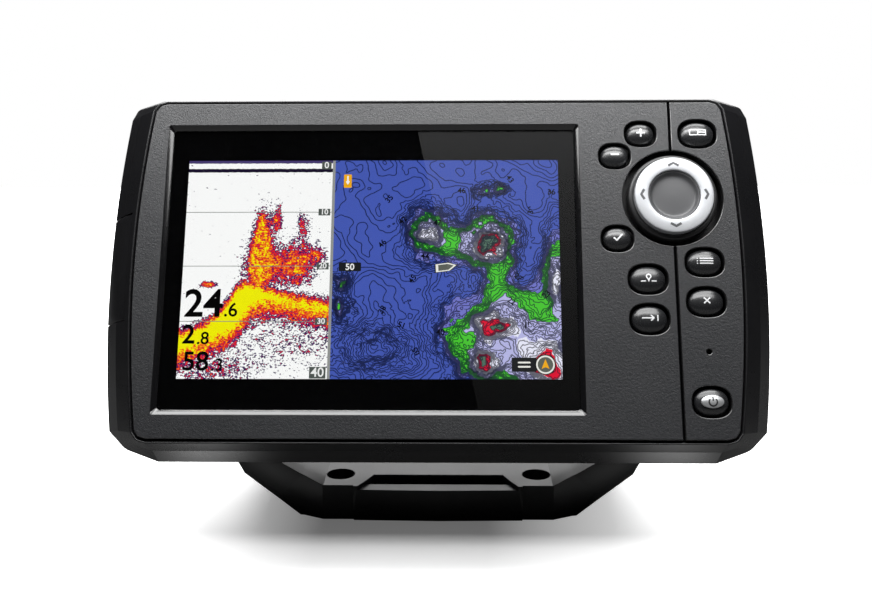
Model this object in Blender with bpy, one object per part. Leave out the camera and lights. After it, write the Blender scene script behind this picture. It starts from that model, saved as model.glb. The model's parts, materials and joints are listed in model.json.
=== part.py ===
"""Chartplotter display on a gimbal bracket, built as separate named parts.

World frame: +X right, +Y away from the reader, +Z up. The origin lies on the underside of the
bracket's foot, straight below the tilt axis. The head is modelled in its own frame, which the
empty "picture_plane" carries: x right, y up the face, z out of the face, with zero at the
picture's surface and at the middle of the face. Dimensions are in millimetres; the mesh builder
turns them into metres.
"""
from math import cos, pi, radians, sin, tau

import bmesh
import bpy

MM = 0.001
GAP = 0.35              # clearance between neighbouring pieces

# Pose of the head
LEAN = 26.0             # lean back from upright, degrees
PIVOT_HEIGHT = 67.0     # tilt axis above the foot's underside
PIVOT_BEHIND = 31.0     # tilt axis behind the picture

# Face outline: half sizes at the bezel, and at the widest loop of the housing
FACE_WIDTH, FACE_HEIGHT = 86.15, 49.3
RIM_WIDTH, RIM_HEIGHT = 96.1, 54.8
FACE_CORNER = ((82.9, 47.0), (81.7, 48.7), (79.6, 49.3))
RIM_CORNER_TOP = ((93.1, 48.5), (91.4, 52.0), (83.6, 54.8))
RIM_CORNER_LOW = ((93.0, 46.2), (88.0, 51.3), (78.3, 54.8))
CAVITY_WIDTH = 81.55
CAVITY_CORNER = ((78.3, 41.5), (77.3, 43.8), (75.0, 44.7))
SIDE_STEPS = 8          # straight steps along each bowed side
FACET_PHASE = 0.37      # turns the facets of round shapes so that none lies flush with a flat neighbour

# Depths along the face's normal
BEZEL_FRONT, BEZEL_SKIN, BEZEL_BACK = 2.7, 1.45, -2.0
RIM_FRONT, RIM_STEP, RIM_WIDEST, WING_BACK = 1.4, -2.5, -7.5, -14.5
LEDGE, WING_FLOOR, REAR_FACE, REAR_FLOOR = -3.6, -11.5, -48.0, -45.0
BOARD_FRONT, BOARD_BACK = -6.0, -7.6
MAT_FRONT, MAT_BACK = -1.5, -2.7

# Rear hump half sizes
HUMP_WIDTH, HUMP_HEIGHT, HUMP_DRAFT, HUMP_WALL = 56.0, 41.0, 1.0, 3.0

# Picture, glass and window half sizes
PICTURE_X = -18.7
WINDOW = (59.9, 42.5)
WINDOW_CHAMFER = 1.3
GLASS = (60.6, 43.3)

# Keys: centre x, centre y, hole width, hole height
KEYS = {
    "key_plus": (59.2, 39.45, 9.4, 8.1),
    "key_minus": (51.5, 32.6, 9.4, 8.05),
    "key_view": (75.65, 39.4, 11.25, 9.0),
    "key_check": (51.5, 7.75, 9.35, 8.1),
    "key_mark": (59.7, -4.2, 11.35, 9.05),
    "key_goto": (59.7, -15.7, 11.35, 9.15),
    "key_menu": (75.75, 0.74, 11.15, 8.8),
    "key_exit": (75.65, -10.75, 11.2, 8.95),
    "key_power": (75.65, -38.9, 10.9, 8.9),
}
KEY_SIDE_GAP = 0.75
KEY_FOOT, KEY_TOP = -0.4, 3.5
KEY_ROUNDNESS = 2.7     # superellipse exponent of the key outline
LENS = (6.2, 4.8)       # width and height of the power key's lens

# Cursor pad
NAV = (67.7, 19.95)
NAV_RECESS, NAV_SKIRT, NAV_RING, NAV_DISC = 14.375, 12.85, 11.2, 7.65
PINHOLE = (75.7, -24.9, 0.75)
GROOVE_WIDTH, GROOVE_DEPTH = 0.65, 0.5

# Fasteners: x, y
CASE_SCREWS = ((-82.2, 31), (-82.2, -31), (82.2, 31), (82.2, -24), (-18.7, 46.9), (-18.7, -46.9))
BOARD_SCREWS = ((-74, 40.5), (-74, -40.5), (67, 42), (67, -42))

# Card door in the left side band
DOOR_LOW, DOOR_HIGH = -15.4, 16.2
DOOR_PIN = (90.9, -10.2)
DOOR_PIN_RADIUS, KNUCKLE_RADIUS = 0.8, 1.75
DOOR_SWING = 100.0      # how far the door opens, degrees
DOOR_REAR_EDGE = -45.0  # where the door's rear face meets its knuckle, degrees around the pin
DOOR_RELIEF = ((97.0, -16.0), (92.4, -16.0))    # corners of the room that the open door turns into
RECESS_REACH = 5.0      # how far the recess cutter stands out of the side band
CARD_SLOT = (-5.7, -4.5)

# Sockets in the rear face: x, y, number of pins
SOCKETS = {"power_socket": (-22.0, -16.0, 3), "sonar_socket": (22.0, -16.0, 5)}
SOCKET_RADIUS, SOCKET_BORE = 8.0, 6.4
SOCKET_FLOOR, SOCKET_END = -38.5, -49.8

# Bracket
ARM_INSIDE, ARM_OUTSIDE, ARM_TOP_RADIUS = 58.5, 64.5, 12.5
FOOT_FRONT, FOOT_BACK, FOOT_HEIGHT = -20.6, 31.4, 11.2
FOOT_HOLES = ((30.75, -11.3), (-30.75, -11.3), (30.75, 21.0), (-30.75, 21.0))
STUD_RADIUS = 3.0
KNOB_RADIUS, KNOB_INSIDE, KNOB_OUTSIDE = 13.8, 66.3, 84.0
KNOB_LOBES = 5
WASHER_INSIDE, WASHER_OUTSIDE, WASHER_RADIUS = 64.85, 65.95, 8.0
INSERT_INSIDE, INSERT_OUTSIDE, INSERT_RADIUS = 46.3, 57.6, 5.0


# ---------------------------------------------------------------- outlines

def lerp(a, b, t):
    return a + (b - a) * t


def bowed_outline(half_width, top, low):
    """Anticlockwise outline with bowed sides; top and low hold the corner's three points."""
    side = []
    for i in range(1, SIDE_STEPS):
        y = lerp(-low[0][1], top[0][1], i / SIDE_STEPS)
        end = top[0] if y > 0 else low[0]
        side.append((half_width - (half_width - end[0]) * (y / end[1]) ** 2, y))
    right = [(x, -y) for x, y in low[::-1]] + side + list(top)
    return right + [(-x, y) for x, y in right[::-1]]


def face_outline(fx, fy):
    """Outline between the bezel (0) and the widest loop of the rim (1)."""
    def blend(face, rim):
        return [(lerp(a[0], b[0], fx), lerp(a[1], b[1], fy)) for a, b in zip(face, rim)]
    return bowed_outline(lerp(FACE_WIDTH, RIM_WIDTH, fx), blend(FACE_CORNER, RIM_CORNER_TOP),
                         blend(FACE_CORNER, RIM_CORNER_LOW))


def block_outline(half_width, half_height, corner=6.0):
    """Rectangle with three-point corners, with as many points as face_outline."""
    high = [(half_width, half_height - corner), (half_width - 0.3 * corner, half_height - 0.3 * corner),
            (half_width - corner, half_height)]
    side = [(half_width, lerp(-high[0][1], high[0][1], i / SIDE_STEPS)) for i in range(1, SIDE_STEPS)]
    right = [(x, -y) for x, y in high[::-1]] + side + high
    return right + [(-x, y) for x, y in right[::-1]]


def grow(loop, distance):
    """Move every edge of a convex anticlockwise loop outwards by a distance."""
    result = []
    count = len(loop)
    for i in range(count):
        (ax, ay), (bx, by), (cx, cy) = loop[i - 1], loop[i], loop[(i + 1) % count]
        length_1 = ((bx - ax) ** 2 + (by - ay) ** 2) ** 0.5
        length_2 = ((cx - bx) ** 2 + (cy - by) ** 2) ** 0.5
        n1 = ((by - ay) / length_1, (ax - bx) / length_1)
        n2 = ((cy - by) / length_2, (bx - cx) / length_2)
        scale = distance / (1.0 + n1[0] * n2[0] + n1[1] * n2[1])
        result.append((bx + (n1[0] + n2[0]) * scale, by + (n1[1] + n2[1]) * scale))
    return result


def rounded_rectangle(half_width, half_height, radius=1.0, steps=3, centre=(0.0, 0.0)):
    points = []
    for quarter, (sx, sy) in enumerate(((1, 1), (-1, 1), (-1, -1), (1, -1))):
        for i in range(steps + 1):
            angle = quarter * pi / 2 + i / steps * pi / 2
            points.append((centre[0] + sx * (half_width - radius) + radius * cos(angle),
                           centre[1] + sy * (half_height - radius) + radius * sin(angle)))
    return points


def circle(radius, steps=24, centre=(0.0, 0.0)):
    points = []
    for i in range(steps):
        angle = tau * (i + FACET_PHASE) / steps
        points.append((centre[0] + radius * cos(angle), centre[1] + radius * sin(angle)))
    return points


def superellipse(width, height, steps=16, centre=(0.0, 0.0)):
    points = []
    for i in range(steps):
        c, s = cos(tau * i / steps), sin(tau * i / steps)
        power = 2.0 / KEY_ROUNDNESS
        points.append((centre[0] + width / 2 * abs(c) ** power * (1 if c > 0 else -1),
                       centre[1] + height / 2 * abs(s) ** power * (1 if s > 0 else -1)))
    return points


# ---------------------------------------------------------------- mesh builders

def at(loop, z):
    """A flat outline placed at a depth."""
    return [(x, y, z) for x, y in loop]


def add_loft(bm, loops, ring=False):
    """Join loops of equal length into a closed solid, or into a closed ring."""
    rows = [[bm.verts.new([c * MM for c in point]) for point in loop] for loop in loops]
    if ring:
        rows.append(rows[0])
    for low, high in zip(rows, rows[1:]):
        for i in range(len(low)):
            j = (i + 1) % len(low)
            bm.faces.new((low[i], low[j], high[j], high[i]))
    if not ring:
        bm.faces.new(rows[0][::-1])
        bm.faces.new(rows[-1])


def add_frame(bm, outer, inner, z_low, z_high):
    """A flat frame between two outlines with as many points each."""
    add_loft(bm, [at(outer, z_low), at(inner, z_low), at(inner, z_high), at(outer, z_high)], ring=True)


def add_box(bm, x, y, z):
    outline = [(x[0], y[0]), (x[1], y[0]), (x[1], y[1]), (x[0], y[1])]
    add_loft(bm, [at(outline, z[0]), at(outline, z[1])])


def add_rod(bm, radius, start, end, axis="Z", steps=24):
    """A round rod between two points that differ along one axis only."""
    loops = []
    for point in (start, end):
        if axis == "X":
            loops.append([(point[0], point[1] + a, point[2] + b) for a, b in circle(radius, steps)])
        elif axis == "Y":
            loops.append([(point[0] + b, point[1], point[2] + a) for a, b in circle(radius, steps)])
        else:
            loops.append([(point[0] + a, point[1] + b, point[2]) for a, b in circle(radius, steps)])
    add_loft(bm, loops)


def add_turned(bm, profile, steps=22, axis="Z"):
    """Turn a closed (radius, height) profile that stays clear of the axis."""
    def place(radius, height, angle):
        a, b = radius * cos(angle), radius * sin(angle)
        if axis == "X":
            return (height, a, b)
        return (a, b, height)
    add_loft(bm, [[place(r, h, tau * i / steps) for i in range(steps)] for r, h in profile], ring=True)


def make(name, shape, parent=None, location=(0, 0, 0), material=None, cutter=False):
    """One object from a function that fills a bmesh."""
    bm = bmesh.new()
    shape(bm)
    bmesh.ops.recalc_face_normals(bm, faces=bm.faces[:])
    mesh = bpy.data.meshes.new(name)
    bm.to_mesh(mesh)
    bm.free()
    obj = bpy.data.objects.new(name, mesh)
    bpy.context.scene.collection.objects.link(obj)
    obj.parent = parent
    obj.location = [c * MM for c in location]
    if cutter:
        obj.hide_render = True
        obj.display_type = "WIRE"
    else:
        mesh.shade_smooth()
        mesh.set_sharp_from_angle(angle=radians(32))
        mesh.materials.append(material)
    return obj


def combine(target, name, shape, operation="DIFFERENCE", overlapping=False):
    """Cut a shape out of a target, or join it on, with a kept Boolean modifier."""
    tool = make(name, shape, parent=target.parent, cutter=True)
    tool.location = target.location
    boolean = target.modifiers.new(name, "BOOLEAN")
    boolean.operation = operation
    boolean.object = tool
    boolean.solver = "EXACT"
    boolean.use_self = overlapping


def paint(name, colour, roughness, metallic=0.0):
    material = bpy.data.materials.new(name)
    material.use_nodes = True
    shader = material.node_tree.nodes["Principled BSDF"]
    shader.inputs["Base Color"].default_value = (*colour, 1.0)
    shader.inputs["Roughness"].default_value = roughness
    shader.inputs["Metallic"].default_value = metallic
    material.diffuse_color = (*colour, 1.0)
    return material


# ---------------------------------------------------------------- bracket and knobs

def build_bracket():
    """Foot and two arms: three outlines, one per direction, are crossed with each other."""
    outer = [(43.0, 0.0), (60.7, 12.4), (63.6, 17.5), (ARM_OUTSIDE, 23.0), (ARM_OUTSIDE, 84.0)]
    inner = [(ARM_INSIDE, 84.0), (ARM_INSIDE, 33.0), (57.2, 26.5), (53.5, 20.6), (48.0, 16.4),
             (42.3, 13.6), (35.2, FOOT_HEIGHT)]
    half = outer + inner
    front_view = half + [(-x, z) for x, z in half[::-1]]

    plan_half = [(35.5, FOOT_FRONT), (41.6, FOOT_FRONT + 3.0), (50.0, FOOT_FRONT + 4.8), (66.0, -13.0),
                 (66.0, 26.0), (60.6, FOOT_BACK)]
    plan = plan_half + [(-x, y) for x, y in plan_half[::-1]]

    arc = [(-ARM_TOP_RADIUS * cos(pi * i / 12), PIVOT_HEIGHT + ARM_TOP_RADIUS * sin(pi * i / 12))
           for i in range(13)]
    side_view = [(-24, -2), (-24, 13), (-15.5, 22), (-ARM_TOP_RADIUS, 42)] + arc
    side_view += [(ARM_TOP_RADIUS + 1, 42), (24, 16), (34, 9), (34, -2)]

    def profile(bm):
        add_loft(bm, [[(x, y, z) for x, z in front_view] for y in (-30, 40)])

    black = paint("bracket_black", (0.022, 0.022, 0.024), 0.42)
    bracket = make("gimbal_bracket", profile, material=black)
    combine(bracket, "cut_plan", lambda bm: add_loft(bm, [at(plan, -3), at(plan, 90)]), "INTERSECT")
    combine(bracket, "cut_side_view",
            lambda bm: add_loft(bm, [[(x, y, z) for y, z in side_view] for x in (-70, 70)]), "INTERSECT")

    lip = [(-26.0, -24.0), (26.0, -24.0), (22.4, -16.8), (-22.4, -16.8)]
    window = [(-22.4, -16.8), (22.4, -16.8), (20.3, -11.8), (-20.3, -11.8)]
    nose = [(-26.0, FOOT_FRONT + 3), (-26.0, FOOT_FRONT - 0.7), (0.0, FOOT_FRONT - 1.3),
            (26.0, FOOT_FRONT - 0.7), (26.0, FOOT_FRONT + 3)]
    combine(bracket, "add_nose", lambda bm: add_loft(bm, [at(nose, 0), at(nose, FOOT_HEIGHT)]), "UNION")
    combine(bracket, "cut_lip", lambda bm: add_loft(bm, [at(lip, 10.0), at(lip, 13)]))
    combine(bracket, "cut_window", lambda bm: add_loft(bm, [at(window, -2), at(window, 13)]))

    def screw_holes(bm):
        for x, y in FOOT_HOLES:
            counterbore = [(2.6, -1.0), (2.6, 3.5), (4.45, 3.5), (4.45, 13.0)]
            add_loft(bm, [at(circle(r, 20, (x, y)), z) for r, z in counterbore])

    def pivot_holes(bm):
        for side in (-1, 1):
            start, end = side * (ARM_INSIDE - 3.5), side * (ARM_OUTSIDE + 3.5)
            add_rod(bm, STUD_RADIUS + 0.5, (start, 0, PIVOT_HEIGHT), (end, 0, PIVOT_HEIGHT), "X")

    combine(bracket, "cut_screw_holes", screw_holes)
    combine(bracket, "cut_pivot_holes", pivot_holes)


def build_knobs(pivot):
    """Knob, stud and captive washer of each side, centred on the tilt axis."""
    black = paint("knob_black", (0.03, 0.03, 0.032), 0.5)
    steel = paint("stud_steel", (0.6, 0.6, 0.6), 0.3, 1.0)
    rubber = paint("washer_rubber", (0.02, 0.02, 0.02), 0.8)
    brass = paint("insert_brass", (0.75, 0.55, 0.25), 0.35, 1.0)

    def lobed(radius, depth, steps=35):
        points = []
        for i in range(steps):
            angle = tau * i / steps
            reach = radius - depth / 2 * (1 - cos(KNOB_LOBES * angle))
            points.append((reach * cos(angle), reach * sin(angle)))
        return points

    for side, word in ((-1, "left"), (1, "right")):
        def knob(bm, side=side):
            stations = ((KNOB_INSIDE, 8.0, 0.0), (KNOB_INSIDE + 4, 9.0, 0.3),
                        (KNOB_INSIDE + 6, KNOB_RADIUS, 2.6), (KNOB_OUTSIDE - 1.5, KNOB_RADIUS, 2.6),
                        (KNOB_OUTSIDE, KNOB_RADIUS - 1.8, 2.2))
            add_loft(bm, [[(side * x, a, b) for a, b in lobed(r, d)] for x, r, d in stations])

        def bore(bm, side=side):
            start, end = side * (KNOB_INSIDE - 2), side * (KNOB_OUTSIDE - 3)
            add_rod(bm, STUD_RADIUS + GAP, (start, 0, 0), (end, 0, 0), "X")

        def stud(bm, side=side):
            add_rod(bm, STUD_RADIUS, (side * 48.0, 0, 0), (side * (KNOB_OUTSIDE - 3.4), 0, 0), "X")

        def sleeve(inner, outer, start, end, side=side):
            profile = [(inner, side * start), (outer, side * start), (outer, side * end), (inner, side * end)]
            return lambda bm: add_turned(bm, profile, axis="X")

        washer = sleeve(STUD_RADIUS + 0.4, WASHER_RADIUS, WASHER_INSIDE, WASHER_OUTSIDE)
        insert = sleeve(STUD_RADIUS + GAP, INSERT_RADIUS, INSERT_INSIDE, INSERT_OUTSIDE)

        body = make("knob_" + word, knob, parent=pivot, material=black)
        combine(body, "bore_" + word, bore)
        make("knob_stud_" + word, stud, parent=pivot, material=steel)
        make("knob_washer_" + word, washer, parent=pivot, material=rubber)
        make("threaded_insert_" + word, insert, parent=pivot, material=brass)


# ---------------------------------------------------------------- front of the head

def build_bezel(face):
    outline = face_outline(0, 0)

    def plate(bm):
        add_loft(bm, [at(outline, BEZEL_BACK), at(outline, BEZEL_FRONT - 0.6),
                      at(grow(outline, -0.6), BEZEL_FRONT)])

    def pocket(bm):
        inside = grow(outline, -3.0)
        add_loft(bm, [at(inside, BEZEL_BACK - 1), at(inside, BEZEL_SKIN)])

    def window(bm):
        slope = WINDOW_CHAMFER
        loops = []
        for extra, z in ((0.65, BEZEL_FRONT + 0.5), (-slope, BEZEL_FRONT - 1.0), (-slope, BEZEL_SKIN - 0.5)):
            opening = rounded_rectangle(WINDOW[0] + extra, WINDOW[1] + extra, centre=(PICTURE_X, 0))
            loops.append(at(opening, z))
        add_loft(bm, loops)

    def key_holes(bm):
        for x, y, width, height in KEYS.values():
            hole = superellipse(width, height, centre=(x, y))
            add_loft(bm, [at(hole, BEZEL_SKIN - 0.5), at(hole, BEZEL_FRONT + 1)])
        for x, y, radius in ((*NAV, NAV_RECESS), PINHOLE):
            hole = circle(radius, 36 if radius > 5 else 8, (x, y))
            add_loft(bm, [at(hole, BEZEL_SKIN - 0.5), at(hole, BEZEL_FRONT + 1)])

    def groove(bm):
        x = (NAV[0] - GROOVE_WIDTH / 2, NAV[0] + GROOVE_WIDTH / 2)
        z = (BEZEL_FRONT - GROOVE_DEPTH, BEZEL_FRONT + 1)
        add_box(bm, x, (NAV[1] + NAV_RECESS - 1, FACE_HEIGHT + 1), z)
        add_box(bm, x, (-FACE_HEIGHT - 1, NAV[1] - NAV_RECESS + 1), z)

    def bosses(bm):
        for x, y in CASE_SCREWS:
            add_rod(bm, 1.9, (x, y, BEZEL_BACK), (x, y, BEZEL_SKIN + 0.4), steps=14)

    def boss_holes(bm):
        for x, y in CASE_SCREWS:
            add_rod(bm, 1.2, (x, y, BEZEL_BACK - 1), (x, y, BEZEL_SKIN + 0.2), steps=12)

    grey = paint("bezel_grey", (0.075, 0.077, 0.08), 0.5)
    bezel = make("front_bezel", plate, parent=face, material=grey)
    combine(bezel, "cut_pocket", pocket)
    combine(bezel, "add_bosses", bosses, "UNION")
    combine(bezel, "cut_window", window)
    combine(bezel, "cut_key_holes", key_holes)
    combine(bezel, "cut_groove", groove)
    combine(bezel, "cut_boss_holes", boss_holes)


def build_display(face):
    """Cover glass, its gasket, the liquid crystal cell, the backlight tray and the flex lead."""
    def slab(half, low, high):
        outline = rounded_rectangle(*half, centre=(PICTURE_X, 0))
        return lambda bm: add_loft(bm, [at(outline, low), at(outline, high)])

    def gasket(bm):
        add_frame(bm, rounded_rectangle(61.2, 44.6, centre=(PICTURE_X, 0)),
                  rounded_rectangle(59.0, 37.4, centre=(PICTURE_X, 0)), -1.2, 0.15)

    def tray_pocket(bm):
        add_box(bm, (PICTURE_X - 57.7, PICTURE_X + 57.7), (-35.9, 35.9), (-1.5, 1.0))

    def flex(bm):
        path = [(-36.2, -4.5), (-39.0, -4.5), (-39.0, -5.7), (-33.0, -5.7), (-33.0, -5.4), (-38.7, -5.4),
                (-38.7, -4.8), (-36.2, -4.8)]
        add_loft(bm, [[(x, y, z) for y, z in path] for x in (PICTURE_X - 12, PICTURE_X + 12)])

    make("cover_glass", slab(GLASS, 0.45, 1.15), parent=face,
         material=paint("clear_glass", (0.01, 0.01, 0.012), 0.05))
    make("lens_gasket", gasket, parent=face, material=paint("gasket_foam", (0.015, 0.015, 0.015), 0.9))
    make("lcd_panel", slab((57.4, 35.6), -1.15, 0.0), parent=face,
         material=paint("picture", (0.1, 0.2, 0.5), 0.3))
    tray = make("lcd_chassis", slab((58.6, 37.0), -4.2, -0.3), parent=face,
                material=paint("tray_steel", (0.6, 0.6, 0.62), 0.4, 1.0))
    combine(tray, "cut_tray", tray_pocket)
    make("display_flex", flex, parent=face, material=paint("flex_amber", (0.5, 0.25, 0.05), 0.5))


def build_keys(face):
    """Nine keys, each with its origin on its own line of travel."""
    rubber = paint("key_rubber", (0.035, 0.036, 0.038), 0.45)
    silver = paint("key_silver", (0.75, 0.76, 0.77), 0.3, 1.0)
    stations = ((1.0, KEY_FOOT), (1.0, BEZEL_FRONT - 0.1), (0.96, BEZEL_FRONT + 0.35),
                (0.8, KEY_TOP - 0.2), (0.45, KEY_TOP))
    for name, (x, y, width, height) in KEYS.items():
        def cap(bm, width=width, height=height):
            outline = superellipse(width - 2 * KEY_SIDE_GAP, height - 2 * KEY_SIDE_GAP)
            add_loft(bm, [at([(a * s, b * s) for a, b in outline], z) for s, z in stations])
        make(name, cap, parent=face, location=(x, y, 0), material=rubber)

    def lens_seat(bm):
        outline = superellipse(LENS[0] + 0.6, LENS[1] + 0.6)
        add_loft(bm, [at(outline, KEY_TOP - 1.4), at(outline, KEY_TOP + 1)])

    def lens(bm):
        outline = superellipse(*LENS)
        crown = superellipse(LENS[0] * 0.86, LENS[1] * 0.86)
        add_loft(bm, [at(outline, KEY_TOP - 1.1), at(outline, KEY_TOP), at(crown, KEY_TOP + 0.6)])

    power = bpy.data.objects["key_power"]
    combine(power, "cut_lens_seat", lens_seat)
    make("power_key_lens", lens, parent=face, location=(*KEYS["key_power"][:2], 0), material=silver)


def build_cursor_pad(face):
    """Dark skirt, silver ring and dished disc, on a post that lets them rock both ways."""
    place = (*NAV, 0)
    skirt = [(3.1, 0.4), (NAV_SKIRT - 0.55, 0.4), (NAV_SKIRT, 0.9), (NAV_SKIRT, 2.6), (NAV_SKIRT - 0.65, 3.4),
             (NAV_RING + GAP, 3.4), (NAV_RING + GAP, 2.9), (3.1, 2.9)]
    ring = [(NAV_DISC, 3.2), (NAV_RING, 3.2), (NAV_RING, 4.6), (10.6, 5.5), (9.8, 5.7), (8.4, 5.5),
            (NAV_DISC, 4.9)]
    make("nav_skirt", lambda bm: add_turned(bm, skirt, 32), parent=face, location=place,
         material=paint("skirt_rubber", (0.03, 0.03, 0.032), 0.5))
    make("nav_ring", lambda bm: add_turned(bm, ring, 32), parent=face, location=place,
         material=paint("ring_silver", (0.8, 0.81, 0.82), 0.3, 1.0))

    def disc(bm):
        edge = NAV_DISC - GAP
        stations = ((edge, 3.2), (edge, 4.9), (edge - 0.4, 4.95), (6.15, 4.5), (3.0, 4.25))
        add_loft(bm, [at(circle(r, 24), z) for r, z in stations])

    def post(bm):
        stations = ((5.0, -0.9), (5.0, -0.2), (2.6, -0.2), (2.2, 2.5))
        add_loft(bm, [at(circle(r, 24), z) for r, z in stations])

    make("nav_disc", disc, parent=face, location=place,
         material=paint("disc_grey", (0.2, 0.205, 0.21), 0.4))
    make("nav_pivot", post, parent=face, location=place,
         material=paint("pivot_nylon", (0.7, 0.7, 0.68), 0.5))


def build_keypad_mat(face):
    def sheet(bm):
        outline = rounded_rectangle(16.2, 44.8, 2.0, centre=(63.2, 0))
        add_loft(bm, [at(outline, MAT_BACK), at(outline, MAT_FRONT)])

    def posts(bm):
        for x, y, _, _ in KEYS.values():
            add_rod(bm, 2.2, (x, y, BOARD_FRONT + 0.4), (x, y, MAT_BACK + 0.5), steps=12)
        for dx, dy in ((9, 0), (-9, 0), (0, 9), (0, -9)):
            x, y = NAV[0] + dx, NAV[1] + dy
            add_rod(bm, 1.8, (x, y, BOARD_FRONT + 0.4), (x, y, MAT_BACK + 0.5), steps=12)

    def notches(bm):
        for x, y in CASE_SCREWS[2:4]:
            add_rod(bm, 2.4, (x, y, MAT_BACK - 1), (x, y, MAT_FRONT + 1), steps=12)

    grey = paint("silicone_grey", (0.08, 0.08, 0.085), 0.7)
    mat = make("keypad_mat", sheet, parent=face, material=grey)
    combine(mat, "add_posts", posts, "UNION")
    combine(mat, "cut_notches", notches)


# ---------------------------------------------------------------- housing and what it holds

def door_profile(y, skin):
    """Section of the card door across the side band: skin 0 is the door, above 0 its recess."""
    sag = (RIM_WIDTH - RIM_CORNER_TOP[0][0]) * (y / RIM_CORNER_TOP[0][1]) ** 2
    outer = [(88.45, 0.3), (92.1, RIM_STEP), (RIM_WIDTH, RIM_WIDEST)]
    inner = [(93.2, RIM_WIDEST), (90.0, RIM_STEP), (88.0, 0.3)]
    first_angle = DOOR_REAR_EDGE
    if skin > 0:
        # the recess reaches past the side band, and leaves room for the open door behind the pin
        outer = [(x + RECESS_REACH, z + (skin if z > 0 else 0)) for x, z in outer] + list(DOOR_RELIEF)
        inner = [(x - skin, z + (skin if z > 0 else 0)) for x, z in inner]
        first_angle -= DOOR_SWING + 5
    knuckle = []
    for i in range(7):
        angle = radians(lerp(first_angle, -225, i / 6))
        radius = KNUCKLE_RADIUS + skin
        knuckle.append((DOOR_PIN[0] + radius * cos(angle), DOOR_PIN[1] + radius * sin(angle)))
    outer = [(x - sag, z) for x, z in outer]
    inner = [(x - sag, z) for x, z in inner]
    return [(-x, y, z) for x, z in outer + knuckle + inner]


def build_card_door(face):
    x, z = -DOOR_PIN[0], DOOR_PIN[1]

    def flap(bm):
        add_loft(bm, [door_profile(lerp(DOOR_LOW, DOOR_HIGH, i / 4), 0) for i in range(5)])

    def bore(bm):
        add_rod(bm, DOOR_PIN_RADIUS + 0.3, (x, DOOR_LOW - 5, z), (x, DOOR_HIGH + 5, z), "Y", 12)

    def pin(bm):
        add_rod(bm, DOOR_PIN_RADIUS, (x, DOOR_LOW - 2, z), (x, DOOR_HIGH + 2, z), "Y", 12)

    def seal(bm):
        strip = [(-91.0, -3.6), (-93.0, -6.8), (-92.3, -7.2), (-90.3, -4.0)]
        add_loft(bm, [[(a + 0.45, y, b) for a, b in strip] for y in (-8.6, 8.6)])

    def card_gap(bm):
        add_box(bm, (-95, -88), (-6.4, 6.4), (-6.0, -4.6))

    door = make("card_door", flap, parent=face, material=paint("door_black", (0.02, 0.02, 0.022), 0.4))
    combine(door, "cut_door_bore", bore)
    make("card_door_pin", pin, parent=face, material=paint("pin_steel", (0.6, 0.6, 0.6), 0.3, 1.0))
    red = paint("seal_rubber", (0.25, 0.06, 0.03), 0.8)
    strip = make("card_door_seal", seal, parent=face, material=red)
    combine(strip, "cut_card_gap", card_gap)


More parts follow.
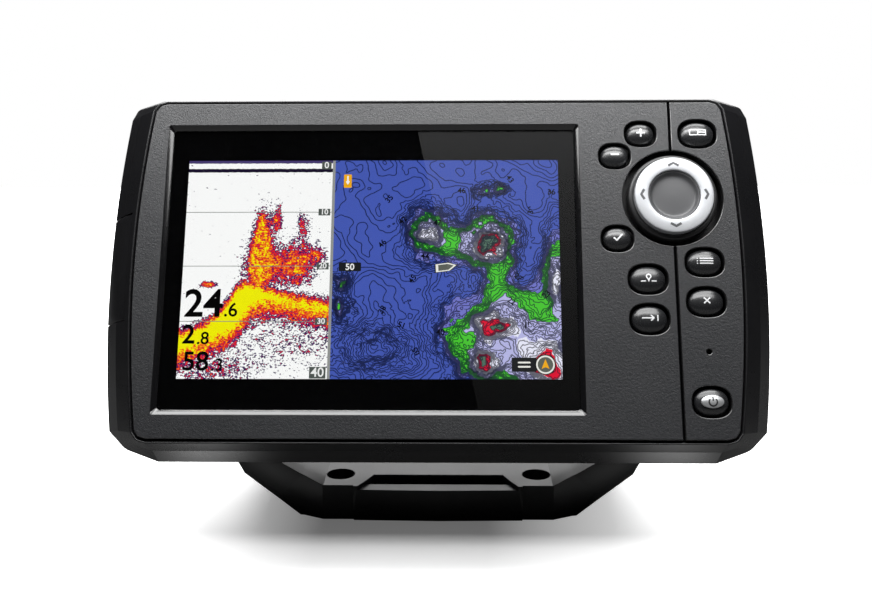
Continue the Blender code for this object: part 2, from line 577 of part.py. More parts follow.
def build_housing(face):
    outline = face_outline(0, 0)
    hump = block_outline(HUMP_WIDTH, HUMP_HEIGHT)
    hump_back = block_outline(HUMP_WIDTH - HUMP_DRAFT, HUMP_HEIGHT - HUMP_DRAFT)
    hump_inside = grow(hump_back, -HUMP_WALL)
    opening = grow(outline, GAP)
    inside = bowed_outline(CAVITY_WIDTH, CAVITY_CORNER, CAVITY_CORNER)

    def outside(bm):
        add_loft(bm, [at(grow(outline, 0.9), RIM_FRONT), at(face_outline(0.594, 0.519), RIM_STEP),
                      at(face_outline(1, 1), RIM_WIDEST), at(face_outline(0.3, 0.3), WING_BACK),
                      at(hump, WING_BACK), at(hump_back, REAR_FACE + 2.5),
                      at(grow(hump_back, -2.5), REAR_FACE)])

    def front_cavity(bm):
        add_loft(bm, [at(opening, RIM_FRONT + 1), at(opening, LEDGE),
                      at(inside, LEDGE), at(inside, WING_FLOOR)])

    def hump_cavity(bm):
        add_loft(bm, [at(hump_inside, WING_FLOOR + 1), at(hump_inside, REAR_FLOOR)])

    def posts(bm):
        for side in (-1, 1):
            add_rod(bm, 9.0, (side * 44, 0, -PIVOT_BEHIND), (side * 58, 0, -PIVOT_BEHIND), "X")
        for x, y in BOARD_SCREWS:
            add_rod(bm, 2.6, (x, y, WING_FLOOR - 0.5), (x, y, BOARD_BACK - GAP), steps=14)

    def bores(bm):
        for side in (-1, 1):
            z = -PIVOT_BEHIND
            add_rod(bm, INSERT_RADIUS + GAP, (side * 46, 0, z), (side * 60, 0, z), "X")
            add_rod(bm, STUD_RADIUS + GAP, (side * 42, 0, z), (side * 45.9, 0, z), "X")
        for x, y, _ in SOCKETS.values():
            add_rod(bm, SOCKET_RADIUS + GAP, (x, y, REAR_FACE - 1), (x, y, REAR_FLOOR + 1))
        for x, y in CASE_SCREWS:
            steps = [(2.3, WING_BACK - 1), (2.3, WING_BACK + 1.8), (1.2, WING_BACK + 1.8), (1.2, LEDGE + 1)]
            add_loft(bm, [at(circle(r, 12, (x, y)), z) for r, z in steps])
        for x, y in BOARD_SCREWS:
            add_rod(bm, 1.2, (x, y, WING_FLOOR + 0.5), (x, y, BOARD_BACK + 1), steps=12)

    def recess(bm):
        low, high = DOOR_LOW - 0.3, DOOR_HIGH + 0.3
        add_loft(bm, [door_profile(lerp(low, high, i / 4), GAP) for i in range(5)])

    def slot(bm):
        pocket = [(-92.6, -1.9), (-95.0, -7.5), (-91.2, -8.1), (-88.6, -2.6)]
        add_loft(bm, [[(x, y, z) for x, z in pocket] for y in (-9.2, 9.2)])
        add_box(bm, (-92.0, -70.0), (-6.2, 6.2), CARD_SLOT)
        x, z = -DOOR_PIN[0], DOOR_PIN[1]
        add_rod(bm, DOOR_PIN_RADIUS + 0.3, (x, DOOR_LOW - 2.4, z), (x, DOOR_HIGH + 2.4, z), "Y", 12)

    black = paint("housing_black", (0.018, 0.018, 0.02), 0.4)
    housing = make("rear_housing", outside, parent=face, material=black)
    combine(housing, "cut_front_cavity", front_cavity)
    combine(housing, "cut_hump_cavity", hump_cavity)
    combine(housing, "add_posts", posts, "UNION")
    combine(housing, "cut_bores", bores)
    combine(housing, "cut_recess", recess)
    combine(housing, "cut_slot", slot, overlapping=True)

    def seal(bm):
        add_frame(bm, grow(outline, -0.4), grow(outline, -1.0), LEDGE + 0.3, BEZEL_BACK - 0.3)

    rubber = paint("case_seal_rubber", (0.02, 0.02, 0.02), 0.8)
    make("case_seal", seal, parent=face, material=rubber)


def build_electronics(face):
    def board(bm):
        outline = rounded_rectangle(76.5, 43.2, 3.0)
        add_loft(bm, [at(outline, BOARD_BACK), at(outline, BOARD_FRONT)])

    def board_holes(bm):
        for x, y in BOARD_SCREWS:
            add_rod(bm, 1.3, (x, y, BOARD_BACK - 1), (x, y, BOARD_FRONT + 1), steps=12)

    pcb = make("main_board", board, parent=face, material=paint("board_green", (0.02, 0.16, 0.06), 0.5))
    combine(pcb, "cut_board_holes", board_holes)

    back = BOARD_BACK - 0.3

    def shield_can(bm):
        add_box(bm, (-10, 30), (-20, 10), (back - 3.5, back))

    def antenna(bm):
        add_box(bm, (-45, -20), (12, 36), (back - 4.5, back))

    def sounder(bm):
        add_rod(bm, 6.0, (38, 26, back - 5), (38, 26, back))

    def card_socket(bm):
        add_box(bm, (-79.5, -64), (-7, 7), (BOARD_FRONT + 0.3, CARD_SLOT[1]))

    for name, shape, material in (
            ("shield_can", shield_can, paint("can_tin", (0.7, 0.7, 0.7), 0.35, 1.0)),
            ("gps_antenna", antenna, paint("patch_ceramic", (0.62, 0.5, 0.36), 0.5)),
            ("sounder", sounder, paint("sounder_black", (0.02, 0.02, 0.02), 0.5)),
            ("card_socket", card_socket, paint("socket_tin", (0.65, 0.65, 0.65), 0.35, 1.0))):
        make(name, shape, parent=face, material=material)


def build_sockets(face):
    """Two round sockets that stand a little proud of the rear face, each with its pins."""
    black = paint("socket_black", (0.02, 0.02, 0.022), 0.45)
    collar = REAR_FACE - 0.3
    for name, (x, y, pins) in SOCKETS.items():
        def cup(bm, x=x, y=y):
            profile = [(SOCKET_RADIUS, -36.0), (SOCKET_RADIUS, collar), (9.5, collar), (9.5, SOCKET_END),
                       (SOCKET_BORE, SOCKET_END), (SOCKET_BORE, SOCKET_FLOOR)]
            add_loft(bm, [at(circle(r, 28, (x, y)), z) for r, z in profile])

        def contacts(bm, x=x, y=y, pins=pins):
            for i in range(pins):
                angle = tau * i / pins + pi / 2
                px, py = x + 3.6 * cos(angle), y + 3.6 * sin(angle)
                add_rod(bm, 0.8, (px, py, SOCKET_FLOOR + 1), (px, py, SOCKET_FLOOR - 4.5), steps=8)

        socket = make(name, cup, parent=face, material=black)
        combine(socket, "pins_" + name, contacts, "UNION")


def build_screws(face):
    steel = paint("screw_steel", (0.55, 0.55, 0.56), 0.35, 1.0)

    def screw(bm, head_radius, shank_radius, seat, head, tip, steps=12):
        stations = ((head_radius, seat - head), (head_radius, seat),
                    (shank_radius, seat), (shank_radius, tip))
        add_loft(bm, [at(circle(r, steps), z) for r, z in stations])

    def case_screw(bm):
        screw(bm, 1.9, 0.9, WING_BACK + 1.5, 1.4, BEZEL_SKIN - 0.2)

    def board_screw(bm):
        screw(bm, 2.0, 0.9, BOARD_FRONT + 0.3, -1.1, WING_FLOOR + 0.9)

    for kind, shape, places in (("case", case_screw, CASE_SCREWS), ("board", board_screw, BOARD_SCREWS)):
        for number, (x, y) in enumerate(places, 1):
            make("%s_screw_%d" % (kind, number), shape, parent=face, location=(x, y, 0), material=steel)


def main():
    for obj in list(bpy.data.objects):
        bpy.data.objects.remove(obj, do_unlink=True)
    pivot = bpy.data.objects.new("tilt_axis", None)
    pivot.location = (0, 0, PIVOT_HEIGHT * MM)
    pivot.rotation_euler = (radians(90 - LEAN), 0, 0)
    face = bpy.data.objects.new("picture_plane", None)
    face.parent = pivot
    face.location = (0, 0, PIVOT_BEHIND * MM)
    for empty in (pivot, face):
        bpy.context.scene.collection.objects.link(empty)

    build_bracket()
    build_knobs(pivot)
    build_bezel(face)
    build_display(face)
    build_keys(face)
    build_cursor_pad(face)
    build_keypad_mat(face)
    build_card_door(face)
    build_housing(face)
    build_electronics(face)
    build_sockets(face)
    build_screws(face)


main()
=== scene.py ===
"""Looks of the chartplotter display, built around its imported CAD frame.

Lengths are in millimetres until a mesh is made. Pieces of the head are drawn in the face's own
axes: x right, y up the face, z out of it, with zero on the picture and at the face's middle.
"""
import json
from math import cos, hypot, pi, radians, sin, sqrt, tau

import bmesh
import bpy
from mathutils import Matrix, Vector


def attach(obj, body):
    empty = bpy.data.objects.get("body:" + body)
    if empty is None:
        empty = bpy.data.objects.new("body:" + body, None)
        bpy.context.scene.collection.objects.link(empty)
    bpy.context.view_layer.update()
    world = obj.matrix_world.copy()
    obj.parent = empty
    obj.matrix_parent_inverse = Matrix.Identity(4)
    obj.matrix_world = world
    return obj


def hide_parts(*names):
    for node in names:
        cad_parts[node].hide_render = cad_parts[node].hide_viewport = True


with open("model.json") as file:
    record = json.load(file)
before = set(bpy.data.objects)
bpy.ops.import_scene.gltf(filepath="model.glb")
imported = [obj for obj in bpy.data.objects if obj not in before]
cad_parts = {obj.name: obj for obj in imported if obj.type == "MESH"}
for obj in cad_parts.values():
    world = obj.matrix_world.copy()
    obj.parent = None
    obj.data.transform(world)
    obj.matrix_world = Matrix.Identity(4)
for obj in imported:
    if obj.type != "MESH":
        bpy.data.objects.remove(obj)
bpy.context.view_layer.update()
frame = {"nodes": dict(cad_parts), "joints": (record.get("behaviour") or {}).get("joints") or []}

MM = 0.001
NODES = frame["nodes"]
JOINTS = {joint["name"]: joint for joint in frame["joints"]}

# Head axes, from the joints that move along and about them
PIVOT = Vector(JOINTS["head_tilt"]["pos_m"])
OUT = -Vector(JOINTS["press_plus"]["axis"])
UP = Vector(JOINTS["pad_rock_sideways"]["axis"])
RIGHT = UP.cross(OUT)


def axes_at(origin):
    return Matrix.Translation(origin) @ Matrix((RIGHT, UP, OUT)).transposed().to_4x4()


def extent(node, placement):
    """Lowest and highest corner of a CAD node along a placement's axes, in millimetres."""
    inverse = placement.inverted()
    points = [inverse @ vertex.co / MM for vertex in NODES[node].data.vertices]
    return Vector(map(min, zip(*points))), Vector(map(max, zip(*points)))


TILT = axes_at(PIVOT)
PANEL_TOP = extent("lcd_panel", TILT)[1].z
FACE = axes_at(PIVOT + OUT * PANEL_TOP * MM)
AXIS_DEPTH = -PANEL_TOP


def plan(node):
    """A CAD node on the face: its middle, its width and height, and its back and front depths."""
    low, high = extent(node, FACE)
    return (low.x + high.x) / 2, (low.y + high.y) / 2, high.x - low.x, high.y - low.y, low.z, high.z


# Outlines of the face and of the shell's widest loop, with each corner's three points
BEZEL_LOW, BEZEL_HIGH = extent("front_bezel", FACE)
SHELL_LOW, SHELL_HIGH = extent("rear_housing", FACE)
FACE_CORNER = ((82.9, 47.0), (81.7, 48.7), (79.6, 49.3))
RIM_CORNER_TOP = ((93.1, 48.5), (91.4, 52.0), (83.6, 54.8))
RIM_CORNER_LOW = ((93.0, 46.2), (88.0, 51.3), (78.3, 54.8))
RIM_LIP, RIM_STEP, RIM_WIDEST, WING_BACK = 1.9, -2.5, -7.5, -14.5
HUMP_WIDTH, HUMP_HEIGHT = 56.0, 41.0
CASE_SCREWS = ["case_screw_%d" % number for number in range(1, 7)]
SOCKET_PINS = {"power_socket": 3, "sonar_socket": 5}

# Picture and window
GLASS_LOW, GLASS_HIGH = extent("cover_glass", FACE)
PICTURE_X = (GLASS_LOW.x + GLASS_HIGH.x) / 2
PICTURE = (54.0, 32.4)
WINDOW = (59.9, 42.5)
SPLIT = (-11.7, -10.9)      # the bar between the echo picture and the chart
PRINT = 0.05                # how far digits stand above the picture

# Keys and cursor pad
KEY_NAMES = [name for name in sorted(NODES) if name.startswith("key_")]
KEY_GAP = 0.75
KEY_SHOULDER = BEZEL_HIGH.z - 1.1
PAD_X, PAD_Y, DISC_WIDTH, _, _, DISC_TOP = plan("nav_disc")
RECESS_RADIUS = 14.375
GROOVE = 0.65
PLATE_BACK, PLATE_EDGE = 0.2, 0.22
PINHOLE_RADIUS, PINHOLE = 0.75, (75.7, -24.9)

# Card door
DOOR_LOW, DOOR_HIGH = extent("card_door", FACE)
DOOR_PIN = (90.9, -10.2)
KNUCKLE_RADIUS = 1.75
DOOR_GAP = 0.35


# ------------ outlines

def lerp(a, b, t):
    return a + (b - a) * t


def corner_facets(points):
    """The corner's two facets, with a small radius between them."""
    def along(a, b, share):
        return tuple(lerp(p, q, share) for p, q in zip(a, b))
    start, middle, end = points
    before, after = along(start, middle, 0.84), along(middle, end, 0.16)
    knee = [along(along(before, middle, t), along(middle, after, t), t) for t in (1 / 3, 2 / 3)]
    return [start, along(start, middle, 0.2), before, *knee, after, along(middle, end, 0.8), end]


def bowed_outline(half_width, top, low, steps=26):
    """Anticlockwise outline with bowed sides and faceted corners, from the lower right round."""
    side = []
    for i in range(1, steps):
        y = lerp(-low[0][1], top[0][1], i / steps)
        end = top[0] if y > 0 else low[0]
        side.append((half_width - (half_width - end[0]) * (y / end[1]) ** 2, y))
    right = [(x, -y) for x, y in corner_facets(low)[::-1]] + side + corner_facets(top)
    return right + [(-x, y) for x, y in right[::-1]]


def shell_outline(fx, fy):
    """Outline between the bezel (0) and the shell's widest loop (1)."""
    def blend(face, rim):
        return [(lerp(a[0], b[0], fx), lerp(a[1], b[1], fy)) for a, b in zip(face, rim)]
    return bowed_outline(lerp(BEZEL_HIGH.x, SHELL_HIGH.x, fx), blend(FACE_CORNER, RIM_CORNER_TOP),
                         blend(FACE_CORNER, RIM_CORNER_LOW))


def block_outline(half_width, half_height, corner=6.0):
    """Block with cut corners and as many points as the shell's outline."""
    cut_x, cut_y = half_width - 0.3 * corner, half_height - 0.3 * corner
    points = ((half_width, half_height - corner), (cut_x, cut_y), (half_width - corner, half_height))
    return bowed_outline(half_width, points, points)


def grow(loop, distance):
    """Move every edge of a convex anticlockwise loop outwards."""
    result = []
    for i, (bx, by) in enumerate(loop):
        (ax, ay), (cx, cy) = loop[i - 1], loop[(i + 1) % len(loop)]
        before, after = hypot(bx - ax, by - ay), hypot(cx - bx, cy - by)
        n1 = ((by - ay) / before, (ax - bx) / before)
        n2 = ((cy - by) / after, (bx - cx) / after)
        scale = distance / (1.0 + n1[0] * n2[0] + n1[1] * n2[1])
        result.append((bx + (n1[0] + n2[0]) * scale, by + (n1[1] + n2[1]) * scale))
    return result


def arc_path(radius, start, end, steps=14, centre=(0.0, 0.0)):
    """Open arc between two angles in degrees."""
    angles = [radians(lerp(start, end, i / steps)) for i in range(steps + 1)]
    return [(centre[0] + radius * cos(angle), centre[1] + radius * sin(angle)) for angle in angles]


def circle(radius, steps, centre):
    return arc_path(radius, 0, 360, steps, centre)[:-1]


def rounded_rectangle(half_width, half_height, radius=1.0, steps=5, centre=(0.0, 0.0)):
    points = []
    for quarter, (sx, sy) in enumerate(((1, 1), (-1, 1), (-1, -1), (1, -1))):
        middle = (centre[0] + sx * (half_width - radius), centre[1] + sy * (half_height - radius))
        points += arc_path(radius, 90 * quarter, 90 * quarter + 90, steps, middle)
    return points


def pane(half_width, half_height, radius=1.0):
    """Rounded rectangle about the picture's middle."""
    return rounded_rectangle(half_width, half_height, radius, centre=(PICTURE_X, 0))


def superellipse(width, height, power, steps=64, centre=(0.0, 0.0)):
    def bulge(part, size):
        return size / 2 * abs(part) ** (2 / power) * (1 if part > 0 else -1)
    turns = [tau * i / steps for i in range(steps)]
    return [(centre[0] + bulge(cos(turn), width), centre[1] + bulge(sin(turn), height)) for turn in turns]


def soften(points, passes=2):
    """Round an open profile by cutting its corners; its ends stay."""
    for _ in range(passes):
        cut_points = [points[0]]
        for a, b in zip(points, points[1:]):
            cut_points += [tuple(lerp(p, q, share) for p, q in zip(a, b)) for share in (0.25, 0.75)]
        points = cut_points + [points[-1]]
    return points


# ------------ meshes

def at(loop, z):
    return [(x, y, z) for x, y in loop]


def loft(bm, loops, ring=False):
    """Join loops of equal length into a closed solid, or into a closed ring."""
    rows = [[bm.verts.new(point) for point in loop] for loop in loops]
    if ring:
        rows.append(rows[0])
    for low, high in zip(rows, rows[1:]):
        for i in range(len(low)):
            j = (i + 1) % len(low)
            bm.faces.new((low[i], low[j], high[j], high[i]))
    if not ring:
        bm.faces.new(rows[0][::-1])
        bm.faces.new(rows[-1])


def turned(bm, profile, centre=(0, 0, 0), axis="Z", steps=96, ring=True):
    """Turn a (radius, height) profile about an axis through the centre."""
    def place(radius, height, angle):
        a, b = radius * cos(angle), radius * sin(angle)
        if axis == "X":
            return (centre[0] + height, centre[1] + a, centre[2] + b)
        return (centre[0] + a, centre[1] + b, centre[2] + height)
    loft(bm, [[place(r, h, tau * i / steps) for i in range(steps)] for r, h in profile], ring=ring)


def box(bm, x, y, z):
    loft(bm, [at([(x[0], y[0]), (x[1], y[0]), (x[1], y[1]), (x[0], y[1])], level) for level in z])


def linked(name, data):
    """New object in the scene."""
    obj = bpy.data.objects.new(name, data)
    bpy.context.scene.collection.objects.link(obj)
    return obj


def mesh_from(bm, name):
    mesh = bpy.data.meshes.new(name)
    bm.to_mesh(mesh)
    bm.free()
    return mesh


def evaluated_mesh(obj):
    """Mesh of an object with its modifiers or its curve worked out."""
    bpy.context.view_layer.update()
    return bpy.data.meshes.new_from_object(obj.evaluated_get(bpy.context.evaluated_depsgraph_get()))


def new_object(name, fill, placement):
    bm = bmesh.new()
    fill(bm)
    bmesh.ops.scale(bm, vec=(MM, MM, MM), verts=bm.verts)
    bmesh.ops.recalc_face_normals(bm, faces=bm.faces)
    obj = linked(name, mesh_from(bm, name))
    obj.matrix_world = placement
    return obj


def round_edges(obj, width, angle=25, clamp=False):
    bevel = obj.modifiers.new("round_edges", "BEVEL")
    bevel.width = width * MM
    bevel.segments = 3
    bevel.limit_method = "ANGLE"
    bevel.angle_limit = radians(angle)
    bevel.use_clamp_overlap = clamp


def cut(obj, *fills):
    """Cut shapes out of a piece."""
    for fill in fills:
        tool = new_object(obj.name + "_cutter", fill, obj.matrix_world)
        boolean = obj.modifiers.new("cut", "BOOLEAN")
        boolean.object = tool
        boolean.solver = "EXACT"
        settle(obj)
        bpy.data.objects.remove(tool, do_unlink=True)


def settle(obj, smooth_below=35):
    """Turn a piece's modifiers into its mesh, and keep its real edges sharp."""
    mesh = evaluated_mesh(obj)
    obj.modifiers.clear()
    obj.data = mesh
    mesh.shade_smooth()
    mesh.set_sharp_from_angle(angle=radians(smooth_below))


def wear(obj, material, body, replaces=()):
    """Give a finished piece its material and its body, and hide the CAD nodes that it stands for."""
    settle(obj)
    obj.data.transform(obj.matrix_world)
    obj.matrix_world = Matrix()
    obj.data.materials.append(material)
    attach(obj, body)
    if replaces:
        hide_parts(*replaces)
    return obj


def piece(name, fill, material, body, slot, replaces=(), placement=FACE, edges=0.0):
    obj = new_object(name, fill, placement)
    if edges:
        round_edges(obj, edges)
    return wear(obj, material, body, replaces)


def plate(name, outlines, low, high, edge):
    """Flat plate between two depths with holes and rounded edges, from a filled curve."""
    curve = bpy.data.curves.new(name + "_outline", "CURVE")
    curve.dimensions = "2D"
    curve.fill_mode = "BOTH"
    curve.extrude = ((high - low) / 2 - edge) * MM
    curve.bevel_depth = edge * MM
    curve.bevel_resolution = 2
    curve.offset = -edge * MM
    for outline in outlines:
        spline = curve.splines.new("POLY")
        spline.points.add(len(outline) - 1)
        for point, (x, y) in zip(spline.points, outline):
            point.co = (x * MM, y * MM, 0, 1)
        spline.use_cyclic_u = True
    source = linked(name + "_source", curve)
    bm = bmesh.new()
    bm.from_mesh(evaluated_mesh(source))
    bpy.data.objects.remove(source, do_unlink=True)
    bmesh.ops.remove_doubles(bm, verts=bm.verts, dist=0.001 * MM)
    bmesh.ops.translate(bm, vec=(0, 0, (high + low) / 2 * MM), verts=bm.verts)
    obj = linked(name, mesh_from(bm, name))
    obj.matrix_world = FACE
    return obj


def refined(node, name, edges):
    """Copy of a CAD node with its flat faces merged and its edges rounded."""
    bm = bmesh.new()
    bm.from_mesh(NODES[node].data)
    bmesh.ops.remove_doubles(bm, verts=bm.verts, dist=0.001 * MM)
    bmesh.ops.dissolve_limit(bm, angle_limit=radians(0.8), verts=bm.verts, edges=bm.edges)
    bmesh.ops.triangulate(bm, faces=[face for face in bm.faces if len(face.verts) > 4])
    obj = linked(name, mesh_from(bm, name))
    round_edges(obj, edges, clamp=True)
    return obj


# ------------ materials

def srgb(red, green, blue):
    """Linear colour from a screen colour of 0 to 255."""
    def linear(value):
        value /= 255
        return value / 12.92 if value <= 0.04045 else ((value + 0.055) / 1.055) ** 2.4
    return (linear(red), linear(green), linear(blue), 1.0)


def feed(tree, node, inputs):
    """Set inputs to values, or link them to a Level, a socket or a node's first output."""
    for slot, value in inputs.items():
        if isinstance(value, Level):
            value = value.socket
        if isinstance(value, bpy.types.Node):
            value = value.outputs[0]
        if isinstance(value, bpy.types.NodeSocket):
            tree.links.new(value, node.inputs[slot])
        else:
            node.inputs[slot].default_value = value


def add_node(tree, kind, inputs=None, **settings):
    node = tree.nodes.new("ShaderNode" + kind)
    for name, value in settings.items():
        setattr(node, name, value)
    feed(tree, node, inputs or {})
    return node


class Level:
    """A number that varies over a surface. Arithmetic on it adds nodes to its material."""

    def __init__(self, tree, socket):
        self.tree = tree
        self.socket = socket

    def math(self, operation, *others):
        node = add_node(self.tree, "Math", dict(enumerate((self, *others))), operation=operation)
        return Level(self.tree, node.outputs[0])

    def __add__(self, other):
        return self.math("ADD", other)

    def __sub__(self, other):
        return self.math("SUBTRACT", other)

    def __mul__(self, other):
        return self.math("MULTIPLY", other)

    def __neg__(self):
        return self.math("MULTIPLY", -1.0)

    def __abs__(self):
        return self.math("ABSOLUTE")

    def clamp(self):
        return self.math("MAXIMUM", 0.0).math("MINIMUM", 1.0)

    def ramp(self, start, end):
        """0 at start, 1 at end, straight between."""
        node = add_node(self.tree, "MapRange", {"Value": self, "From Min": start, "From Max": end})
        return Level(self.tree, node.outputs["Result"])

    def colours(self, stops, mode="LINEAR"):
        node = add_node(self.tree, "ValToRGB", {"Fac": self})
        node.color_ramp.interpolation = mode
        elements = node.color_ramp.elements
        for _ in range(len(stops) - 2):
            elements.new(0.5)
        for element, (position, colour) in zip(elements, stops):
            element.position = position
            element.color = colour
        return node.outputs["Color"]

    def curve(self, points):
        """A curve from 0..1 to 0..1 through a few listed points."""
        node = add_node(self.tree, "FloatCurve", {"Value": self})
        knots = node.mapping.curves[0].points
        for _ in range(len(points) - 2):
            knots.new(0.5, 0.5)
        for knot, place in zip(knots, points):
            knot.location = place
        node.mapping.update()
        return Level(self.tree, node.outputs["Value"])


def new_material(name):
    material = bpy.data.materials.new(name)
    material.use_nodes = True
    return material, material.node_tree, material.node_tree.nodes["Principled BSDF"]


def surface_place(tree):
    return add_node(tree, "TexCoord").outputs["Object"]


def noise(tree, place, scale, detail=2.0, roughness=0.5, stretch=None):
    if stretch:
        place = add_node(tree, "Mapping", {"Scale": stretch, "Vector": place}).outputs["Vector"]
    inputs = {"Vector": place, "Scale": scale, "Detail": detail, "Roughness": roughness}
    return Level(tree, add_node(tree, "TexNoise", inputs).outputs["Fac"])


def voronoi(tree, place, scale, feature="SMOOTH_F1"):
    node = add_node(tree, "TexVoronoi", {"Vector": place, "Scale": scale}, feature=feature)
    return Level(tree, node.outputs["Distance"])


def bump(tree, shader, height, depth):
    """Raise the surface by a level, with depth in millimetres from 0 to 1."""
    relief = add_node(tree, "Bump", {"Strength": 1.0, "Distance": depth * MM, "Height": height})
    feed(tree, shader, {"Normal": relief})


def split_axes(tree, vector):
    node = add_node(tree, "SeparateXYZ", {"Vector": vector})
    return Level(tree, node.outputs["X"]), Level(tree, node.outputs["Y"])


def mix_colours(tree, share, first, second):
    return add_node(tree, "Mix", {0: share, 6: first, 7: second}, data_type="RGBA").outputs[2]


def blob(x, y, centre, size):
    """Soft hill: 1 at its centre, falling to a third at its size in x and y."""
    a = (x - centre[0]) * (1 / size[0])
    b = (y - centre[1]) * (1 / size[1])
    return (-(a * a + b * b)).math("EXPONENT")


def finish(name, colour, roughness, metallic=0.0, grain=0.5, depth=0.004, tint=0.12, spread=0.06,
           stretch=None, specular=0.5):
    """Plain finish whose colour and roughness vary softly, with a fine grain of a size in millimetres."""
    material, tree, shader = new_material(name)
    place = surface_place(tree)
    fine = noise(tree, place, 1 / (grain * MM), 3.0, stretch=stretch)
    mixed = fine * 0.5 + noise(tree, place, 70.0) * 0.5
    dark, light = [(*(min(1.0, part * share) for part in colour), 1.0) for share in (1 - tint, 1 + tint)]
    feed(tree, shader, {
        "Base Color": mixed.ramp(0.3, 0.7).colours([(0.0, dark), (1.0, light)]),
        "Roughness": mixed.ramp(0.25, 0.75) * (2 * spread) + (roughness - spread),
        "Metallic": metallic,
        "Specular IOR Level": specular,
    })
    bump(tree, shader, fine, depth)
    material.diffuse_color = (*colour, 1.0)
    return material


def bezel_finish():
    """Dark grey moulding with a leather-like stipple of about half a millimetre, its colour painted darker in
    the stipple's hollows as painted shade and lighter on its crests as painted highlight.
    """
    material, tree, shader = new_material("bezel_grain_and_painted_shade")
    place = surface_place(tree)
    pebbles = voronoi(tree, place, 1 / (0.6 * MM))
    crumbs = noise(tree, place, 1 / (0.30 * MM), 3.0, 0.6)
    height = (-pebbles) * 0.6 + crumbs * 1.1
    # The colour follows the stipple's height: painted shade in its hollows and painted highlight on its
    # crests.
    painted_shade_hollow, painted_highlight_crest = (0.0105, 0.0109, 0.0125, 1), (0.0285, 0.0295, 0.0325, 1)
    feed(tree, shader, {"Base Color": height.ramp(-0.15, 0.6).colours([(0.0, painted_shade_hollow), (1.0, painted_highlight_crest)]),
                        "Roughness": noise(tree, place, 60.0) * 0.10 + 0.34})
    bump(tree, shader, height, 0.07)
    return material


def board_finish():
    """Green solder resist with a hint of the copper tracks below."""
    material, tree, shader = new_material("board_resist")
    place = surface_place(tree)
    tracks = voronoi(tree, place, 1 / (4.0 * MM), "DISTANCE_TO_EDGE").ramp(0.05, 0.09)
    copper, resist = (0.05, 0.24, 0.08, 1), (0.015, 0.12, 0.04, 1)
    feed(tree, shader, {"Base Color": tracks.colours([(0.0, copper), (1.0, resist)]),
                        "Roughness": noise(tree, place, 300.0) * 0.1 + 0.3})
    bump(tree, shader, -tracks, 0.03)
    return material


def glass_finish():
    material, tree, shader = new_material("cover_glass_clear")
    feed(tree, shader, {"Base Color": (0.96, 0.97, 0.98, 1), "Roughness": 0.0, "IOR": 1.5,
                        "Transmission Weight": 1.0})
    return material


def glow(name, colour):
    """Flat light of one colour."""
    material, tree, shader = new_material(name)
    feed(tree, shader, {"Base Color": (0, 0, 0, 1), "Specular IOR Level": 0.0, "Roughness": 1.0,
                        "Emission Color": colour, "Emission Strength": 1.0})
    return material


def picture_material(name):
    """Dark cell whose light comes from nodes, with its tree, its place in millimetres and its shader."""
    material, tree, shader = new_material(name)
    feed(tree, shader, {"Base Color": (0.004, 0.004, 0.004, 1), "Specular IOR Level": 0.0,
                        "Roughness": 0.6, "Emission Strength": 1.07})
    return material, tree, add_node(tree, "UVMap", uv_map="picture").outputs["UV"], shader


def echo_picture():
    """Depth against time: bottom echo, weeds and fish over a white ground, with depth lines."""
    material, tree, place, shader = picture_material("echo_picture")
    x, y = split_axes(tree, place)
    across = x.ramp(-PICTURE[0], SPLIT[0])
    down = y.ramp(PICTURE[1], -PICTURE[1])
    speckle = noise(tree, place, 1.55, 1.0, 0.6, stretch=(1.0, 1.3, 1.0))
    clumps = noise(tree, place, 0.55, 3.0, 0.6)
    top = across.curve([(0.0, 0.80), (0.22, 0.735), (0.32, 0.66), (0.39, 0.585), (0.48, 0.575),
                        (0.62, 0.61), (1.0, 0.665)])
    low = across.curve([(0.0, 0.915), (0.2, 0.865), (0.38, 0.80), (0.46, 0.725), (0.60, 0.69),
                        (0.8, 0.712), (1.0, 0.735)])
    above = (down - top) * 11.0
    below = (low - down) * 5.2
    bottom = above.math("MINIMUM", below).math("MINIMUM", 0.32) + 0.66
    weeds = 0.0
    for spot, size, force in (((0.525, 0.35), (0.062, 0.14), 0.80), ((0.52, 0.50), (0.12, 0.12), 0.8),
                              ((0.63, 0.27), (0.04, 0.07), 0.6), ((0.77, 0.49), (0.15, 0.12), 0.70),
                              ((0.81, 0.30), (0.05, 0.07), 0.5), ((0.92, 0.44), (0.07, 0.04), 0.4),
                              ((0.18, 0.58), (0.07, 0.018), 0.75)):
        weeds = blob(across, down, spot, size) * force + weeds
    echo = bottom.math("MAXIMUM", weeds.math("MINIMUM", 0.74))
    haze = (blob(across, down, (0.85, 0.82), (0.75, 0.16)) * 0.33
            + blob(across, down, (0.2, 0.97), (0.35, 0.08)) * 0.36)
    echo = echo.math("MAXIMUM", haze)
    grainy = echo + (speckle - 0.5) * 0.95 + (clumps - 0.5) * 0.85
    strength = grainy.math("MAXIMUM", bottom.ramp(0.78, 0.96))
    fleck = noise(tree, place, 1.05, 1.0, stretch=(0.8, 1.8, 1.0)).ramp(0.735, 0.755)
    strength = strength.math("MAXIMUM", fleck * 0.40)
    white, navy, plum = srgb(252, 252, 250), srgb(38, 18, 72), srgb(92, 34, 112)
    red, orange, yellow = srgb(222, 30, 34), srgb(246, 132, 20), srgb(240, 236, 4)
    colour = strength.clamp().colours([(0.0, white), (0.34, navy), (0.45, plum), (0.51, red),
                                       (0.69, orange), (0.81, yellow)], "CONSTANT")
    ripple = noise(tree, place, 0.9, 1.0, stretch=(1.0, 0.0, 1.0)) * 0.5
    for level, tone in ((29.6, srgb(22, 14, 40)), (32.35, srgb(70, 58, 110))):
        colour = mix_colours(tree, abs(y + ripple - level).math("LESS_THAN", 0.55), colour, tone)
    for depth in (1, 2, 3):
        level = PICTURE[1] * (1 - depth / 2) + 0.35
        colour = mix_colours(tree, abs(y - level).math("LESS_THAN", 0.10), colour, srgb(120, 125, 120))
    feed(tree, shader, {"Emission Color": colour})
    return material


